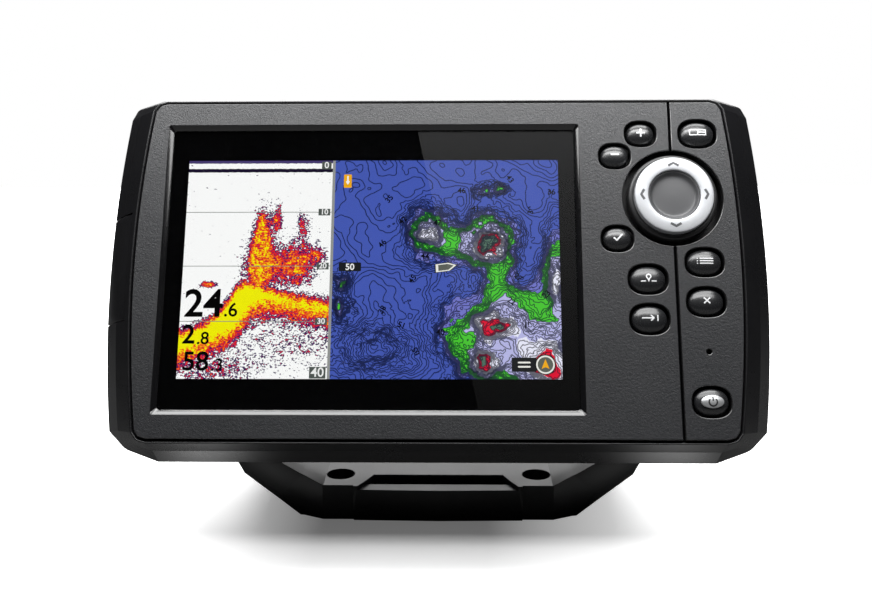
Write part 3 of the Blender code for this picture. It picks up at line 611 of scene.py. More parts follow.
# Shoals of the chart: middle, size and rise above the water's floor
SHOALS = (((16.2, 11.2), (4.8, 6.0), 27), ((34.5, 7.5), (6.2, 6.6), 35), ((26.0, 7.0), (11.0, 6.5), 17),
          ((35.0, -10.0), (13.0, 8.0), 15), ((36.5, -3.0), (4.5, 6.0), 11), ((44.0, -9.0), (8.0, 4.0), 2),
          ((50.0, -3.0), (4.0, 6.0), 8), ((24.0, -20.0), (5.0, 8.0), 12), ((1.0, -24.0), (10.0, 6.0), -16),
          ((31.5, -27.5), (6.0, 5.0), 34), ((33.5, -17.5), (6.5, 4.0), 22), ((52.0, -30.0), (13.0, 10.0), 34),
          ((43.0, -20.0), (13.0, 9.0), 18), ((54.0, -3.0), (3.6, 14.0), 24), ((32.0, 22.5), (1.8, 1.8), 13),
          ((36.2, 23.6), (2.2, 1.8), 15), ((-8.6, -4.0), (2.2, 2.8), 16), ((-8.6, -11.5), (2.4, 3.2), 16))


def chart_picture():
    """Depth chart: soundings as a height field, coloured by depth, with contour lines of even width."""
    material, tree, place, shader = picture_material("chart_picture")
    nudge = 0.08

    def depth_at(offset):
        spot = add_node(tree, "VectorMath", {0: place, 1: (*offset, 0.0)}).outputs["Vector"]
        x, y = split_axes(tree, spot)
        x = x + (noise(tree, spot, 0.16, 3.0, 0.55) - 0.5) * 9.0
        y = y + (noise(tree, spot, 0.16, 3.0, 0.55, stretch=(-1.0, 1.0, 1.0)) - 0.5) * 9.0
        depth = noise(tree, spot, 0.045, 3.0, 0.5) * 22.0 + 31.0
        for centre, size, rise in SHOALS:
            depth = depth - blob(x, y, centre, size) * rise
        return depth

    depth = depth_at((0.0, 0.0))
    slope_x = (depth_at((nudge, 0.0)) - depth) * (1 / nudge)
    slope_y = (depth_at((0.0, nudge)) - depth) * (1 / nudge)
    slope = (slope_x * slope_x + slope_y * slope_y).math("SQRT")
    land, red, pale, lilac = srgb(78, 108, 92), srgb(222, 12, 48), srgb(232, 232, 246), srgb(182, 182, 226)
    green, shelf, water = srgb(72, 196, 48), srgb(112, 116, 196), srgb(68, 88, 176)
    colour = depth.ramp(0.0, 50.0).colours([(0.0, land), (0.06, red), (0.13, pale), (0.25, lilac),
                                            (0.40, green), (0.56, shelf), (0.66, water)], "CONSTANT")
    line = abs(depth.math("FRACT") - 0.5) * -1.0 + 0.5
    contour = (line - slope * 0.14).math("LESS_THAN", 0.0)
    crowd = slope.ramp(5.0, 12.0).clamp() * 0.8
    colour = mix_colours(tree, crowd, colour, srgb(16, 20, 26))
    colour = mix_colours(tree, contour * 0.85, colour, srgb(10, 14, 40))
    feed(tree, shader, {"Emission Color": colour})
    return material


MOULDED = dict(grain=0.35, depth=0.006)
BEZEL = bezel_finish()
CHAMFER = finish("bezel_chamfer", (0.016, 0.016, 0.017), 0.2, grain=0.3, depth=0.003, specular=1.0)
WINDOW_EDGE = finish("window_edge", (0.005, 0.005, 0.0055), 0.13, grain=0.3, depth=0.002, specular=1.0)
SHELL = finish("shell_black", (0.009, 0.009, 0.010), 0.30, grain=0.6)
BRACKET = finish("bracket_black", (0.012, 0.012, 0.013), 0.42, **MOULDED)
DOOR = finish("door_black", (0.010, 0.010, 0.011), 0.30, grain=0.6)
KNOB = finish("knob_black", (0.014, 0.014, 0.015), 0.5, **MOULDED)
KEY = finish("key_rubber", (0.017, 0.0175, 0.019), 0.27, grain=0.25, depth=0.003, specular=0.8)
LEGEND = finish("legend_white", (0.82, 0.83, 0.84), 0.5, grain=0.2, depth=0.001, tint=0.03)
LENS = finish("lens_silver", (0.60, 0.61, 0.62), 0.32, metallic=0.55, grain=0.2, depth=0.002, tint=0.05)
SYMBOL = finish("symbol_dark", (0.02, 0.02, 0.022), 0.5, grain=0.2, depth=0.001)
SKIRT = finish("skirt_rubber", (0.020, 0.020, 0.021), 0.36, grain=0.3, depth=0.003)
RING = finish("ring_silver", (0.66, 0.675, 0.70), 0.32, metallic=0.3, grain=0.2, depth=0.002, tint=0.04)
CHEVRON = finish("chevron_grey", (0.085, 0.087, 0.092), 0.45, grain=0.2, depth=0.001)
DISC = finish("disc_grey", (0.095, 0.096, 0.100), 0.34, grain=0.25, depth=0.003, tint=0.06)
INK = finish("border_ink", (0.002, 0.002, 0.0022), 0.6, grain=0.3, depth=0.001, specular=0.0)
BRASS = finish("insert_brass", (0.72, 0.50, 0.22), 0.3, metallic=1.0, grain=0.3, stretch=(0.1, 1, 1))
STEEL = finish("turned_steel", (0.56, 0.56, 0.57), 0.28, metallic=1.0, grain=0.3, depth=0.003,
               stretch=(8, 1, 1))
TIN = finish("tinned_sheet", (0.68, 0.69, 0.70), 0.3, metallic=1.0, grain=1.2, depth=0.006)
GOLD = finish("pin_gold", (0.83, 0.62, 0.28), 0.22, metallic=1.0, grain=0.3, depth=0.002)
RUBBER = finish("soft_rubber", (0.014, 0.014, 0.014), 0.7, grain=0.4, depth=0.01)
SEAL = finish("seal_red", (0.25, 0.05, 0.03), 0.6, grain=0.4, depth=0.006)
FOAM = finish("gasket_foam", (0.010, 0.010, 0.010), 0.9, grain=0.3, depth=0.05)
SILICONE = finish("keypad_silicone", (0.010, 0.010, 0.011), 0.6, depth=0.006)
FLEX = finish("flex_amber", (0.45, 0.2, 0.04), 0.35, grain=0.8)
NYLON = finish("pivot_nylon", (0.66, 0.66, 0.63), 0.45, depth=0.005)
CERAMIC = finish("antenna_ceramic", (0.58, 0.46, 0.32), 0.6, grain=0.3, depth=0.01)
MATTE = finish("sounder_black", (0.02, 0.02, 0.02), 0.55, **MOULDED)
SOCKET = finish("socket_black", (0.014, 0.014, 0.015), 0.42, **MOULDED)
BOARD = board_finish()
GLASS = glass_finish()


# ------------ bezel

def half_face(side):
    """The face's outline on one side of the groove, with the pad's recess bitten out of it."""
    x = PAD_X + side * GROOVE / 2
    outline = shell_outline(0, 0)
    half = len(outline) // 2
    height = side * outline[half - 1][1]
    reach = side * sqrt(RECESS_RADIUS ** 2 - (GROOVE / 2) ** 2)
    turn = 0 if side > 0 else 180
    arc = arc_path(RECESS_RADIUS, turn + 88.7, turn - 88.7, 48, (PAD_X, PAD_Y))
    outer = outline[:half] if side > 0 else outline[half:]
    return [(x, -height), *outer, (x, height), (x, PAD_Y + reach), *arc, (x, PAD_Y - reach)]


def build_bezel():
    front = BEZEL_HIGH.z
    for side, name in ((-1, "bezel_plate"), (1, "bezel_plate_right")):
        outlines = [half_face(side)]
        for key in KEY_NAMES:
            x, y, width, height = plan(key)[:4]
            if (x - PAD_X) * side > 0:
                outlines.append(superellipse(width + 2 * KEY_GAP, height + 2 * KEY_GAP, 2.5, centre=(x, y)))
        if side < 0:
            outlines.append(pane(*WINDOW, 0.6))
        else:
            outlines.append(circle(PINHOLE_RADIUS, 24, PINHOLE))
        obj = plate(name, outlines, PLATE_BACK, front, PLATE_EDGE)
        wear(obj, BEZEL, "head", ["front_bezel"] if side < 0 else [])
        obj.data.materials.append(CHAMFER)
        for polygon in obj.data.polygons:
            flat = abs(polygon.normal.dot(OUT)) > 0.999
            polygon.use_smooth = not flat
            polygon.material_index = 0 if flat else 1

    def groove_floor(bm):
        for low, high in ((-BEZEL_HIGH.y + 0.4, PAD_Y - RECESS_RADIUS + 0.1),
                          (PAD_Y + RECESS_RADIUS - 0.1, BEZEL_HIGH.y - 0.4)):
            box(bm, (PAD_X - 1, PAD_X + 1), (low, high), (0.4, front - 0.9))

    def chamfer(bm):
        profile = [(0.45, 1.9), (0.08, front - 0.03), (-1.2, front - 0.98), (-1.3, front - 1.15),
                   (-1.3, 1.18), (0.45, 1.18)]
        loft(bm, [at(pane(WINDOW[0] + grown, WINDOW[1] + grown, 0.9), z) for grown, z in profile], ring=True)

    def skirting(bm):
        outer, inner = grow(shell_outline(0, 0), -0.15), grow(shell_outline(0, 0), -1.4)
        loft(bm, [at(outer, BEZEL_LOW.z), at(inner, BEZEL_LOW.z), at(inner, 0.5), at(outer, 0.5)], ring=True)

    piece("bezel_groove_floor", groove_floor, INK, "head", "bezel_plastic")
    piece("bezel_window_chamfer", chamfer, WINDOW_EDGE, "head", "bezel_plastic")
    piece("bezel_skirting", skirting, CHAMFER, "head", "bezel_plastic")


# ------------ picture

def lettering(bm, text, size, centre, z=PRINT, turn=0.0, weight=0.0):
    """Digits from Blender's own font as a flat shape at a depth, centred on a point."""
    curve = bpy.data.curves.new("digits", "FONT")
    curve.body = text
    curve.size = size
    curve.offset = weight
    curve.align_x, curve.align_y = "CENTER", "CENTER"
    source = linked("digits", curve)
    mesh = evaluated_mesh(source)
    bpy.data.objects.remove(source, do_unlink=True)
    mesh.transform(Matrix.Translation((*centre, z)) @ Matrix.Rotation(radians(turn), 4, "Z"))
    bm.from_mesh(mesh)
    bpy.data.meshes.remove(mesh)


def lit(name, fill, glow_name, *colour):
    """A flat mark that shines on the picture."""
    piece(name, fill, glow(glow_name, srgb(*colour)), "head", "lcd")


def build_display():
    """The liquid crystal panel with its two pictures, and the glass in front of it."""
    def panel(bm):
        """A slab whose top is split into the two pictures and the bar between them."""
        uv = bm.loops.layers.uv.new("picture")
        bottom, top = [[bm.verts.new((PICTURE_X + x, y, 0.0)) for x in (-PICTURE[0], *SPLIT, PICTURE[0])]
                       for y in (-PICTURE[1], PICTURE[1])]
        for i in range(3):
            face = bm.faces.new((bottom[i], bottom[i + 1], top[i + 1], top[i]))
            face.material_index = i
            for corner in face.loops:
                corner[uv].uv = (corner.vert.co.x - PICTURE_X, corner.vert.co.y)
        around = (bottom[0], bottom[-1], top[-1], top[0])
        under = [bm.verts.new(corner.co - Vector((0, 0, 0.2))) for corner in around]
        for corners in (under[::-1], [under[0], under[1], *bottom[::-1]], [under[2], under[3], *top],
                        (bottom[-1], under[1], under[2], top[-1]), (top[0], under[3], under[0], bottom[0])):
            bm.faces.new(corners).material_index = 1

    def cell(bm):
        low, high = extent("lcd_panel", FACE)
        outline = pane(high.x - PICTURE_X, high.y)
        loft(bm, [at(outline, low.z), at(outline, -0.22)])

    def ink(bm):
        outer, inner = pane(GLASS_HIGH.x - PICTURE_X - 0.1, GLASS_HIGH.y - 0.1), pane(*PICTURE, 0.12)
        loft(bm, [at(outer, 0.36), at(inner, 0.36), at(inner, 0.43), at(outer, 0.43)], ring=True)

    def glass(bm):
        outline = pane(GLASS_HIGH.x - PICTURE_X, GLASS_HIGH.y)
        loft(bm, [at(outline, GLASS_LOW.z), at(outline, GLASS_HIGH.z)])

    obj = piece("lcd_picture", panel, echo_picture(), "head", "lcd", ["lcd_panel"])
    obj.data.materials.append(glow("picture_bar", srgb(150, 152, 150)))
    obj.data.materials.append(chart_picture())
    piece("lcd_cell", cell, INK, "head", "lcd")
    piece("glass_border_ink", ink, INK, "head", "cover_glass")
    piece("cover_glass_pane", glass, GLASS, "head", "cover_glass", ["cover_glass"])


def build_chart_marks():
    """The boat, the compass, the zoom tag and the arrow tag, in layers over the chart."""
    boat = [(-2.9, -1.25), (1.0, -1.15), (3.1, 0.3), (0.9, 1.2), (-2.8, 1.1)]
    (boat_x, boat_y), course = (21.4, 0.0), radians(6)
    compass, zoom, tag = (49.3, -28.2), (43.4, -28.2), (-7.2, 26.0)
    needle = [(-1.1, -1.2), (0, -0.7), (1.1, -1.2), (0, 1.6)]
    arrow = [(-0.22, 1.2), (-0.22, -0.2), (-0.62, -0.2), (0, -1.2), (0.62, -0.2), (0.22, -0.2), (0.22, 1.2)]

    def boat_outline(share):
        return [(boat_x + share * (x * cos(course) - y * sin(course)),
                 boat_y + share * (x * sin(course) + y * cos(course))) for x, y in boat]

    def oblong(x, y, width, height):
        return rounded_rectangle(width / 2, height / 2, 0.3, centre=(x, y))

    def plates(shapes, z):
        """Flat filled outlines over the chart; each is a list of points from the picture's middle."""
        def fill(bm):
            for outline in shapes:
                bm.faces.new([bm.verts.new((PICTURE_X + x, y, z)) for x, y in outline])
        return fill

    dark = [boat_outline(1.12), oblong(*zoom, 7.0, 4.0), circle(2.9, 40, compass),
            oblong(-6.0, 0.1, 6.4, 2.6)]
    pale = [boat_outline(1.0), circle(2.6, 40, compass)]
    pale += [oblong(zoom[0], zoom[1] + step, 3.6, 0.5) for step in (0.6, -0.6)]
    inner = [boat_outline(0.74), circle(2.15, 40, compass)]
    amber = [oblong(*tag, 2.3, 4.1), [(compass[0] + x, compass[1] + y) for x, y in needle]]
    white = [[(tag[0] + x, tag[1] + 0.2 + 1.15 * y) for x, y in arrow]]
    lit("chart_tags", plates(dark, 0.06), "tag_dark", 30, 32, 34)
    lit("chart_marks_pale", plates(pale, 0.08), "mark_pale", 240, 240, 232)
    lit("chart_marks_inner", plates(inner, 0.10), "mark_inner", 96, 100, 92)
    lit("chart_icon_plate", plates(amber, 0.12), "mark_amber", 246, 176, 28)
    lit("chart_icon_arrow", plates(white, 0.14), "mark_white", 252, 252, 250)
    lit("chart_scale_number", lambda bm: lettering(bm, "50", 2.6, (PICTURE_X - 6.0, 0.0), 0.10, weight=0.05),
        "scale_white", 246, 246, 244)


def build_numbers():
    """Large readings, the depth scale on its bar and the chart's soundings."""
    scale = []
    for i, depth in enumerate((0, 10, 20, 30, 40)):
        width, height = {0: (2.8, 2.4), 40: (4.6, 3.3)}.get(depth, (3.4, 2.0))
        shift = {0: -height / 2 - 0.3, 40: height / 2 + 0.2}.get(depth, 0.35)
        x, y = PICTURE_X + SPLIT[0] - 0.4 - width / 2, PICTURE[1] * (1 - i / 2) + shift
        scale.append((depth, x, y, width, height))

    def readings(bm):
        for text, size, x, y, weight in (("24", 11.2, -47.4, -11.0, 0.20), (".6", 5.6, -39.6, -12.7, 0.07),
                                         ("2", 7.6, -51.2, -19.9, 0.13), (".8", 5.0, -47.1, -20.9, 0.06),
                                         ("58", 7.6, -48.8, -27.6, 0.10), (".3", 5.0, -42.7, -28.5, 0.06)):
            lettering(bm, text, size, (PICTURE_X + x, y), weight=weight)

    def scale_boxes(bm):
        for _, x, y, width, height in scale:
            box(bm, (x - width / 2, x + width / 2), (y - height / 2, y + height / 2), (0.01, 0.03))

    def scale_numbers(bm):
        for depth, x, y, _, height in scale:
            lettering(bm, str(depth), height * 1.12, (x, y), weight=0.05)

    def soundings(bm):
        for depth, x, y, turn in (
                (35, 5.0, 20.5, 50), (42, 9.0, 14.0, 45), (47, 19.0, 13.2, 0), (44, 15.5, 3.2, 0),
                (46, 3.2, 7.0, 50), (43, 40.0, 26.5, -55), (36, 52.0, 22.5, 0), (46, 26.0, 23.0, 0),
                (41, 30.0, 17.5, 0), (39, 46.0, 17.0, 80), (45, 12.0, -3.5, 55), (38, 3.5, -12.5, 60),
                (51, 9.0, -17.0, -20), (40, 20.0, -19.0, 0), (50, 13.0, -24.5, -55), (19, 44.5, -17.0, 0),
                (22, 40.0, -10.0, -35), (27, 42.0, -3.0, -45), (23, 50.0, -8.0, 45)):
            lettering(bm, str(depth), 2.3, (PICTURE_X + x, y), turn=turn, weight=0.06)

    lit("echo_readings", readings, "print_black", 4, 4, 4)
    lit("depth_scale_boxes", scale_boxes, "print_grey", 82, 88, 84)
    lit("depth_scale_numbers", scale_numbers, "print_white", 246, 246, 244)
    lit("chart_soundings", soundings, "print_ink", 12, 14, 24)


# ------------ keys

def dome(x, y, width, height, power=2.2):
    """How far a key's top stands above its shoulder at a point, from 0 to 1."""
    reach = (abs(2 * x / width) ** power + abs(2 * y / height) ** power) ** (1 / power)
    return sqrt(max(0.0, 1 - min(1.0, reach) ** 2.1))


def crowned(bm, x, y, rim, levels, surface, rings, first):
    """Closed solid with upright sides at the levels and a top that follows a surface."""
    loops = [at([(x + a, y + b) for a, b in rim], level) for level in levels]
    for i in range(first, rings):
        share = cos(i / rings * pi / 2)
        loops.append([(x + a * share, y + b * share, surface(x + a * share, y + b * share)) for a, b in rim])
    loft(bm, loops)


def stroke(bm, path, width, height_at):
    """A flat ribbon along a path that follows a curved surface."""
    points = []
    for (ax, ay), (bx, by) in zip(path, path[1:]):
        count = max(1, int(hypot(bx - ax, by - ay) / 0.35))
        points += [(lerp(ax, bx, i / count), lerp(ay, by, i / count)) for i in range(count)]
    points.append(path[-1])
    rails = []
    for (x, y), back, ahead in zip(points, points[:1] + points, points[1:] + points[-1:]):
        dx, dy = ahead[0] - back[0], ahead[1] - back[1]
        half = width / 2 / hypot(dx, dy)
        rails.append([bm.verts.new((x - s * dy * half, y + s * dx * half,
                                    height_at(x - s * dy * half, y + s * dx * half))) for s in (-1, 0, 1)])
    for a, b in zip(rails, rails[1:]):
        for k in (0, 1):
            bm.faces.new((a[k], b[k], b[k + 1], a[k + 1]))


# Each key's line width and strokes
PICTOGRAMS = {
    "key_plus": (0.48, [[(-1.25, 0.1), (1.25, 0.1)], [(0, -1.15), (0, 1.35)]]),
    "key_minus": (0.48, [[(-1.2, 0.3), (1.2, 0.3)]]),
    "key_check": (0.46, [[(-1.15, 0.1), (-0.3, -0.75), (1.3, 1.1)]]),
    "key_view": (0.34, [[(-2.3, -0.55), (2.3, -0.55), (2.3, 1.0), (-2.3, 1.0), (-2.3, -0.55)],
                        [(0, -0.5), (0, 0.95)], [(0.1, 0.22), (2.2, 0.22)]]),
    "key_mark": (0.36, [arc_path(0.62, 250, -70, centre=(0, 0.62)) + [(0, -0.85), (-0.2, 0.02)],
                        [(-2.2, -0.7), (-0.8, -0.7)], [(0.8, -0.7), (2.2, -0.7)]]),
    "key_goto": (0.36, [[(-2.3, 0.2), (1.0, 0.2)], [(0.15, 1.0), (1.05, 0.2), (0.15, -0.6)],
                        [(2.1, 1.05), (2.1, -0.65)]]),
    "key_menu": (0.32, [[(left, row), (right, row)] for left, right in ((-1.5, 2.3), (-2.3, -2.0))
                        for row in (-0.5, 0.22, 0.94)]),
    "key_exit": (0.38, [[(-0.85, -0.6), (0.85, 1.05)], [(-0.85, 1.05), (0.85, -0.6)]]),
}


def build_key(name):
    x, y, width, height, back, front = plan(name)

    def surface(px, py, lift=0.0):
        rise = (front - KEY_SHOULDER) * dome(px - x, py - y, width, height)
        return KEY_SHOULDER + rise + lift

    def cap(bm):
        levels = (back, KEY_SHOULDER - 0.4, KEY_SHOULDER)
        crowned(bm, x, y, superellipse(width, height, 2.2), levels, surface, 17, 1)

    def legend(bm):
        weight, paths = PICTOGRAMS[name]
        for path in paths:
            stroke(bm, [(x + a, y + b) for a, b in path], weight, lambda px, py: surface(px, py, 0.03))

    piece(name + "_cap", cap, KEY, name, "key_rubber", [name])
    if name in PICTOGRAMS:
        piece(name + "_legend", legend, LEGEND, name, "key_rubber")


def build_power_lens():
    x, y, width, full_height, back, front = plan("power_key_lens")
    height, foot, power = 0.75 * full_height, front - 1.1, 1.95

    def surface(px, py, lift=0.0):
        return foot + (front - foot) * dome(px - x, py - y, 1.1 * width, 1.1 * height, power) + lift

    def lens(bm):
        crowned(bm, x, y, superellipse(width, height, power), [back], surface, 12, 0)

    def symbol(bm):
        for path in (arc_path(1.1, 130, 410, 24, (0, -0.15)), [(0, 0.1), (0, 1.3)]):
            stroke(bm, [(x + a, y + b) for a, b in path], 0.42, lambda px, py: surface(px, py, 0.02))

    piece("power_lens", lens, LENS, "key_power", "key_silver", ["power_key_lens"])
    piece("power_lens_symbol", symbol, SYMBOL, "key_power", "key_silver")


# ------------ cursor pad

def build_pad():
    _, _, skirt_width, _, skirt_foot, skirt_top = plan("nav_skirt")
    _, _, ring_width, _, _, top = plan("nav_ring")
    skirt, ring, disc = skirt_width / 2, ring_width / 2, DISC_WIDTH / 2
    centre = (PAD_X, PAD_Y, 0)

    skirt_profile = [(ring - 2.0, skirt_foot)] + soften(
        [(skirt, skirt_foot), (skirt, 2.4), (skirt - 0.3, 3.2), (ring + 0.5, skirt_top), (ring + 0.3, 3.2),
         (ring - 2.0, 3.15)])
    ring_profile = [(disc + 0.12, 3.2), (disc + 0.12, top - 0.5)] + soften(
        [(disc + 0.14, top - 0.35), (disc + 0.32, top - 0.06), (9.2, top - 0.02), (ring - 0.3, top - 0.22),
         (ring, top - 0.5), (ring, top - 0.9)], 3) + [(ring, 3.2)]
    disc_profile = [(disc, 3.2)] + soften(
        [(disc, DISC_TOP - 0.1), (disc - 0.12, DISC_TOP), (disc - 0.4, DISC_TOP - 0.1),
         (6.35, DISC_TOP - 1.0), (5.8, DISC_TOP - 1.25), (3.0, DISC_TOP - 1.15), (0.4, DISC_TOP - 1.1)])

    def ring_height(x, y):
        radius = hypot(x - PAD_X, y - PAD_Y)
        for (r1, z1), (r2, z2) in zip(ring_profile, ring_profile[1:]):
            if r1 <= radius <= r2 and r2 > r1:
                return lerp(z1, z2, (radius - r1) / (r2 - r1)) + 0.02
        return top

    def chevrons(bm):
        for quarter in range(4):
            c, s = cos(quarter * pi / 2), sin(quarter * pi / 2)
            path = [(PAD_X + out * c - across * s, PAD_Y + out * s + across * c)
                    for out, across in ((8.6, -1.5), (9.45, 0.0), (8.6, 1.5))]
            stroke(bm, path, 0.72, ring_height)

    for part, material, profile in (("skirt", SKIRT, skirt_profile), ("ring", RING, ring_profile),
                                    ("disc", DISC, disc_profile)):
        piece("pad_" + part, lambda bm: turned(bm, profile, centre, ring=part != "disc"), material,
              "nav_pad", "pad_" + part, ["nav_" + part])
    piece("pad_chevrons", chevrons, CHEVRON, "nav_pad", "pad_ring")


# ------------ shell and door

def door_section(y, skin=0.0):
    """Section of the card door at a height; a skin above 0 gives its recess in the shell."""
    sag = (SHELL_HIGH.x - RIM_CORNER_TOP[0][0]) * (y / RIM_CORNER_TOP[0][1]) ** 2
    outer = [(88.45, 0.3), (92.1, RIM_STEP), (SHELL_HIGH.x, RIM_WIDEST)]
    inner = [(93.2, RIM_WIDEST), (90.0, RIM_STEP), (88.0, 0.3)]
    first_angle = -45
    if skin > 0:
        outer = [(x + 5, z + (skin if z > 0 else 0)) for x, z in outer] + [(97.0, -16.0), (92.4, -16.0)]
        inner = [(x - skin, z + (skin if z > 0 else 0)) for x, z in inner]
        first_angle = -150
    knuckle = arc_path(KNUCKLE_RADIUS + skin, first_angle, -225, 12, DOOR_PIN)
    outer = [(x - sag, z) for x, z in outer]
    inner = [(x - sag, z) for x, z in inner]
    return [(-x, y, z) for x, z in outer + knuckle + inner]


def door_loft(bm, low, high, steps, skin=0.0):
    loft(bm, [door_section(lerp(low, high, i / steps), skin) for i in range(steps + 1)])


def build_door():
    piece("card_door_flap", lambda bm: door_loft(bm, DOOR_LOW.y, DOOR_HIGH.y, 16), DOOR, "card_door",
          "door_plastic", ["card_door"], edges=PLATE_EDGE)


def build_shell():
    face = shell_outline(0, 0)
    rear = SHELL_LOW.z

    socket_radius, screw_radius = 8.3, 2.35

    def shell(bm):
        loft(bm, [at(grow(face, 0.5), -3.6), at(grow(face, 0.5), RIM_LIP - 0.38),
                  at(grow(face, 0.88), RIM_LIP), at(grow(face, 1.2), RIM_LIP),
                  at(shell_outline(0.594, 0.519), RIM_STEP), at(shell_outline(1, 1), RIM_WIDEST),
                  at(shell_outline(0.3, 0.3), WING_BACK),
                  at(block_outline(HUMP_WIDTH, HUMP_HEIGHT), WING_BACK),
                  at(block_outline(HUMP_WIDTH - 1.0, HUMP_HEIGHT - 1.0), rear + 2.5),
                  at(block_outline(HUMP_WIDTH - 3.5, HUMP_HEIGHT - 3.5, 5.0), rear)])

    def holes(names, radius, steps, low, high):
        """Round cutter at each CAD node's middle."""
        def fill(bm):
            for name in names:
                loft(bm, [at(circle(radius, steps, plan(name)[:2]), z) for z in (low, high)])
        return fill

    def door_recess(bm):
        door_loft(bm, DOOR_LOW.y - 0.3, DOOR_HIGH.y + 0.3, 12, DOOR_GAP)

    def card_pocket(bm):
        section = [(-92.6, -1.9), (-95.0, -7.5), (-91.2, -8.1), (-88.6, -2.6)]
        loft(bm, [[(x, y, z) for x, z in section] for y in (-9.2, 9.2)])

    def card_slot(bm):
        box(bm, (-92.0, -80.0), (-6.2, 6.2), (-5.7, -4.5))

    obj = new_object("rear_shell", shell, FACE)
    round_edges(obj, 0.15, angle=14)
    settle(obj)
    cut(obj, *(holes([name], socket_radius, 48, rear - 1.3, rear + 6.2) for name in SOCKET_PINS),
        holes(CASE_SCREWS, screw_radius, 32, WING_BACK - 1, WING_BACK + 1.8),
        door_recess, card_pocket, card_slot)
    wear(obj, SHELL, "head", ["rear_housing"])
    obj.data.set_sharp_from_angle(angle=radians(7))

    bore, rim, root, edge = 5.05, 9.0, 54, 58
    for side, word in ((-1, "left"), (1, "right")):
        profile = [(bore, side * root), (rim, side * root), (rim, side * (edge - 0.4)),
                   (rim - 0.4, side * edge), (bore, side * edge)]
        piece("pivot_boss_" + word, lambda bm: turned(bm, profile, (0, 0, AXIS_DEPTH), "X", 64), SHELL,
              "head", "housing_plastic")


def build_sockets():
    for name, pins in SOCKET_PINS.items():
        x, y, width, _, back, _ = plan(name)
        flange, floor, root, lip = width / 2, -38.5, -48.2, 6.4

        def cup(bm):
            profile = [(0.3, floor), (0.3, floor + 2.5), (8.0, floor + 2.5), (8.0, root)]
            profile += soften([(flange, root), (flange, back), (lip + 0.5, back), (lip, back + 0.5)])
            turned(bm, profile + [(lip, floor)], (x, y, 0), steps=72)

        def contacts(bm):
            for i in range(pins):
                angle = tau * i / pins + pi / 2
                spot = (x + 3.6 * cos(angle), y + 3.6 * sin(angle), 0)
                pin = [(0.05, -37.5), (0.78, -37.5), (0.78, -42.4), (0.5, -42.9), (0.05, -43.0)]
                turned(bm, pin, spot, steps=20)

        piece(name + "_cup", cup, SOCKET, "head", "socket_plastic", [name])
        piece(name + "_pins", contacts, GOLD, "head", "socket_plastic")


def build_screws():
    for number, node in enumerate(CASE_SCREWS, 1):
        x, y, width, _, back, _ = plan(node)
        radius = width / 2

        def head(bm):
            crown = soften([(0.02, back), (radius * 0.6, back + 0.08), (radius, back + 0.7),
                            (radius, back + 1.35)])
            shank = [(0.9, back + 1.4), (0.9, back + 9.0), (0.02, back + 9.4)]
            turned(bm, crown + shank, (x, y, 0), steps=40)

        def slot(a, b):
            """One arm of the cross recess."""
            return lambda bm: box(bm, (x - a, x + a), (y - b, y + b), (back - 1, back + 0.75))

        obj = new_object("case_screw_head_%d" % number, head, FACE)
        settle(obj)
        cut(obj, slot(1.15, 0.24), slot(0.24, 1.15))
        wear(obj, STEEL, "head", [node])


# ------------ bracket and knobs

def build_bracket():
    obj = refined("gimbal_bracket", "bracket_moulding", 0.45)
    wear(obj, BRACKET, "bracket", ["gimbal_bracket"])
    for polygon in obj.data.polygons:
        if max(abs(part) for part in polygon.normal) > 0.9999:
            polygon.use_smooth = False


def build_knob(side, word):
    """Lobed clamp knob and its washer on one side."""
    low, high = extent("knob_" + word, TILT)
    inside, outside = sorted((abs(low.x), abs(high.x)))
    radius, lobes, steps = (high.z - low.z) / 2, 5, 140
    washer_low, washer_high = extent("knob_washer_" + word, TILT)
    washer_radius, bore = (washer_high.y - washer_low.y) / 2, 3.4

    def knob(bm):
        stations = soften([(bore, inside, 0.0), (8.0, inside, 0.0), (9.2, inside + 4.5, 0.3),
                           (radius, inside + 5.6, 2.4), (radius, outside - 2.2, 2.4),
                           (radius - 0.6, outside - 0.3, 2.2), (radius - 3.0, outside, 1.6),
                           (5.0, outside - 0.6, 0.0), (0.6, outside - 0.6, 0.0)])
        loops = []
        for r, x, depth in stations:
            loops.append([])
            for angle in (tau * i / steps for i in range(steps)):
                reach = r - depth * 0.5 * (1 - cos(lobes * angle))
                loops[-1].append((side * x, reach * cos(angle), reach * sin(angle)))
        loft(bm, loops)

    def washer(bm):
        near, far, edge = washer_low.x, washer_high.x, washer_radius - 0.4
        rim = soften([(edge, far), (washer_radius, far), (washer_radius, near), (edge, near)])
        turned(bm, [(bore, near), (bore, far)] + rim, axis="X", steps=64)

    piece("knob_grip_" + word, knob, KNOB, word + "_knob", "knob_plastic", ["knob_" + word], TILT)
    piece("washer_" + word, washer, RUBBER, word + "_knob_carrier", "washer_rubber", ["knob_washer_" + word],
          TILT)


# ------------ CAD nodes that stay

def dress_nodes():
    finishes = {
        "lens_gasket": FOAM, "lcd_chassis": TIN, "display_flex": FLEX, "keypad_mat": SILICONE,
        "main_board": BOARD, "gps_antenna": CERAMIC, "shield_can": TIN, "sounder": MATTE, "card_socket": TIN,
        "case_seal": RUBBER, "card_door_pin": STEEL, "card_door_seal": SEAL, "nav_pivot": NYLON,
        "threaded_insert_left": BRASS, "threaded_insert_right": BRASS, "knob_stud_left": STEEL,
        "knob_stud_right": STEEL, **{"board_screw_%d" % number: STEEL for number in range(1, 5)},
    }
    for name, material in finishes.items():
        for slot in NODES[name].material_slots:
            slot.material = material


# ------------ stage, in metres

FLOOR = ((-0.8, -0.7), (0.8, -0.7), (0.8, 0.9), (-0.8, 0.9))
GLARE = ((-0.13, -1.15, 1.75), (0.85, -1.15, 1.75), (0.85, -1.15, 0.55), (0.075, -1.15, 0.55))
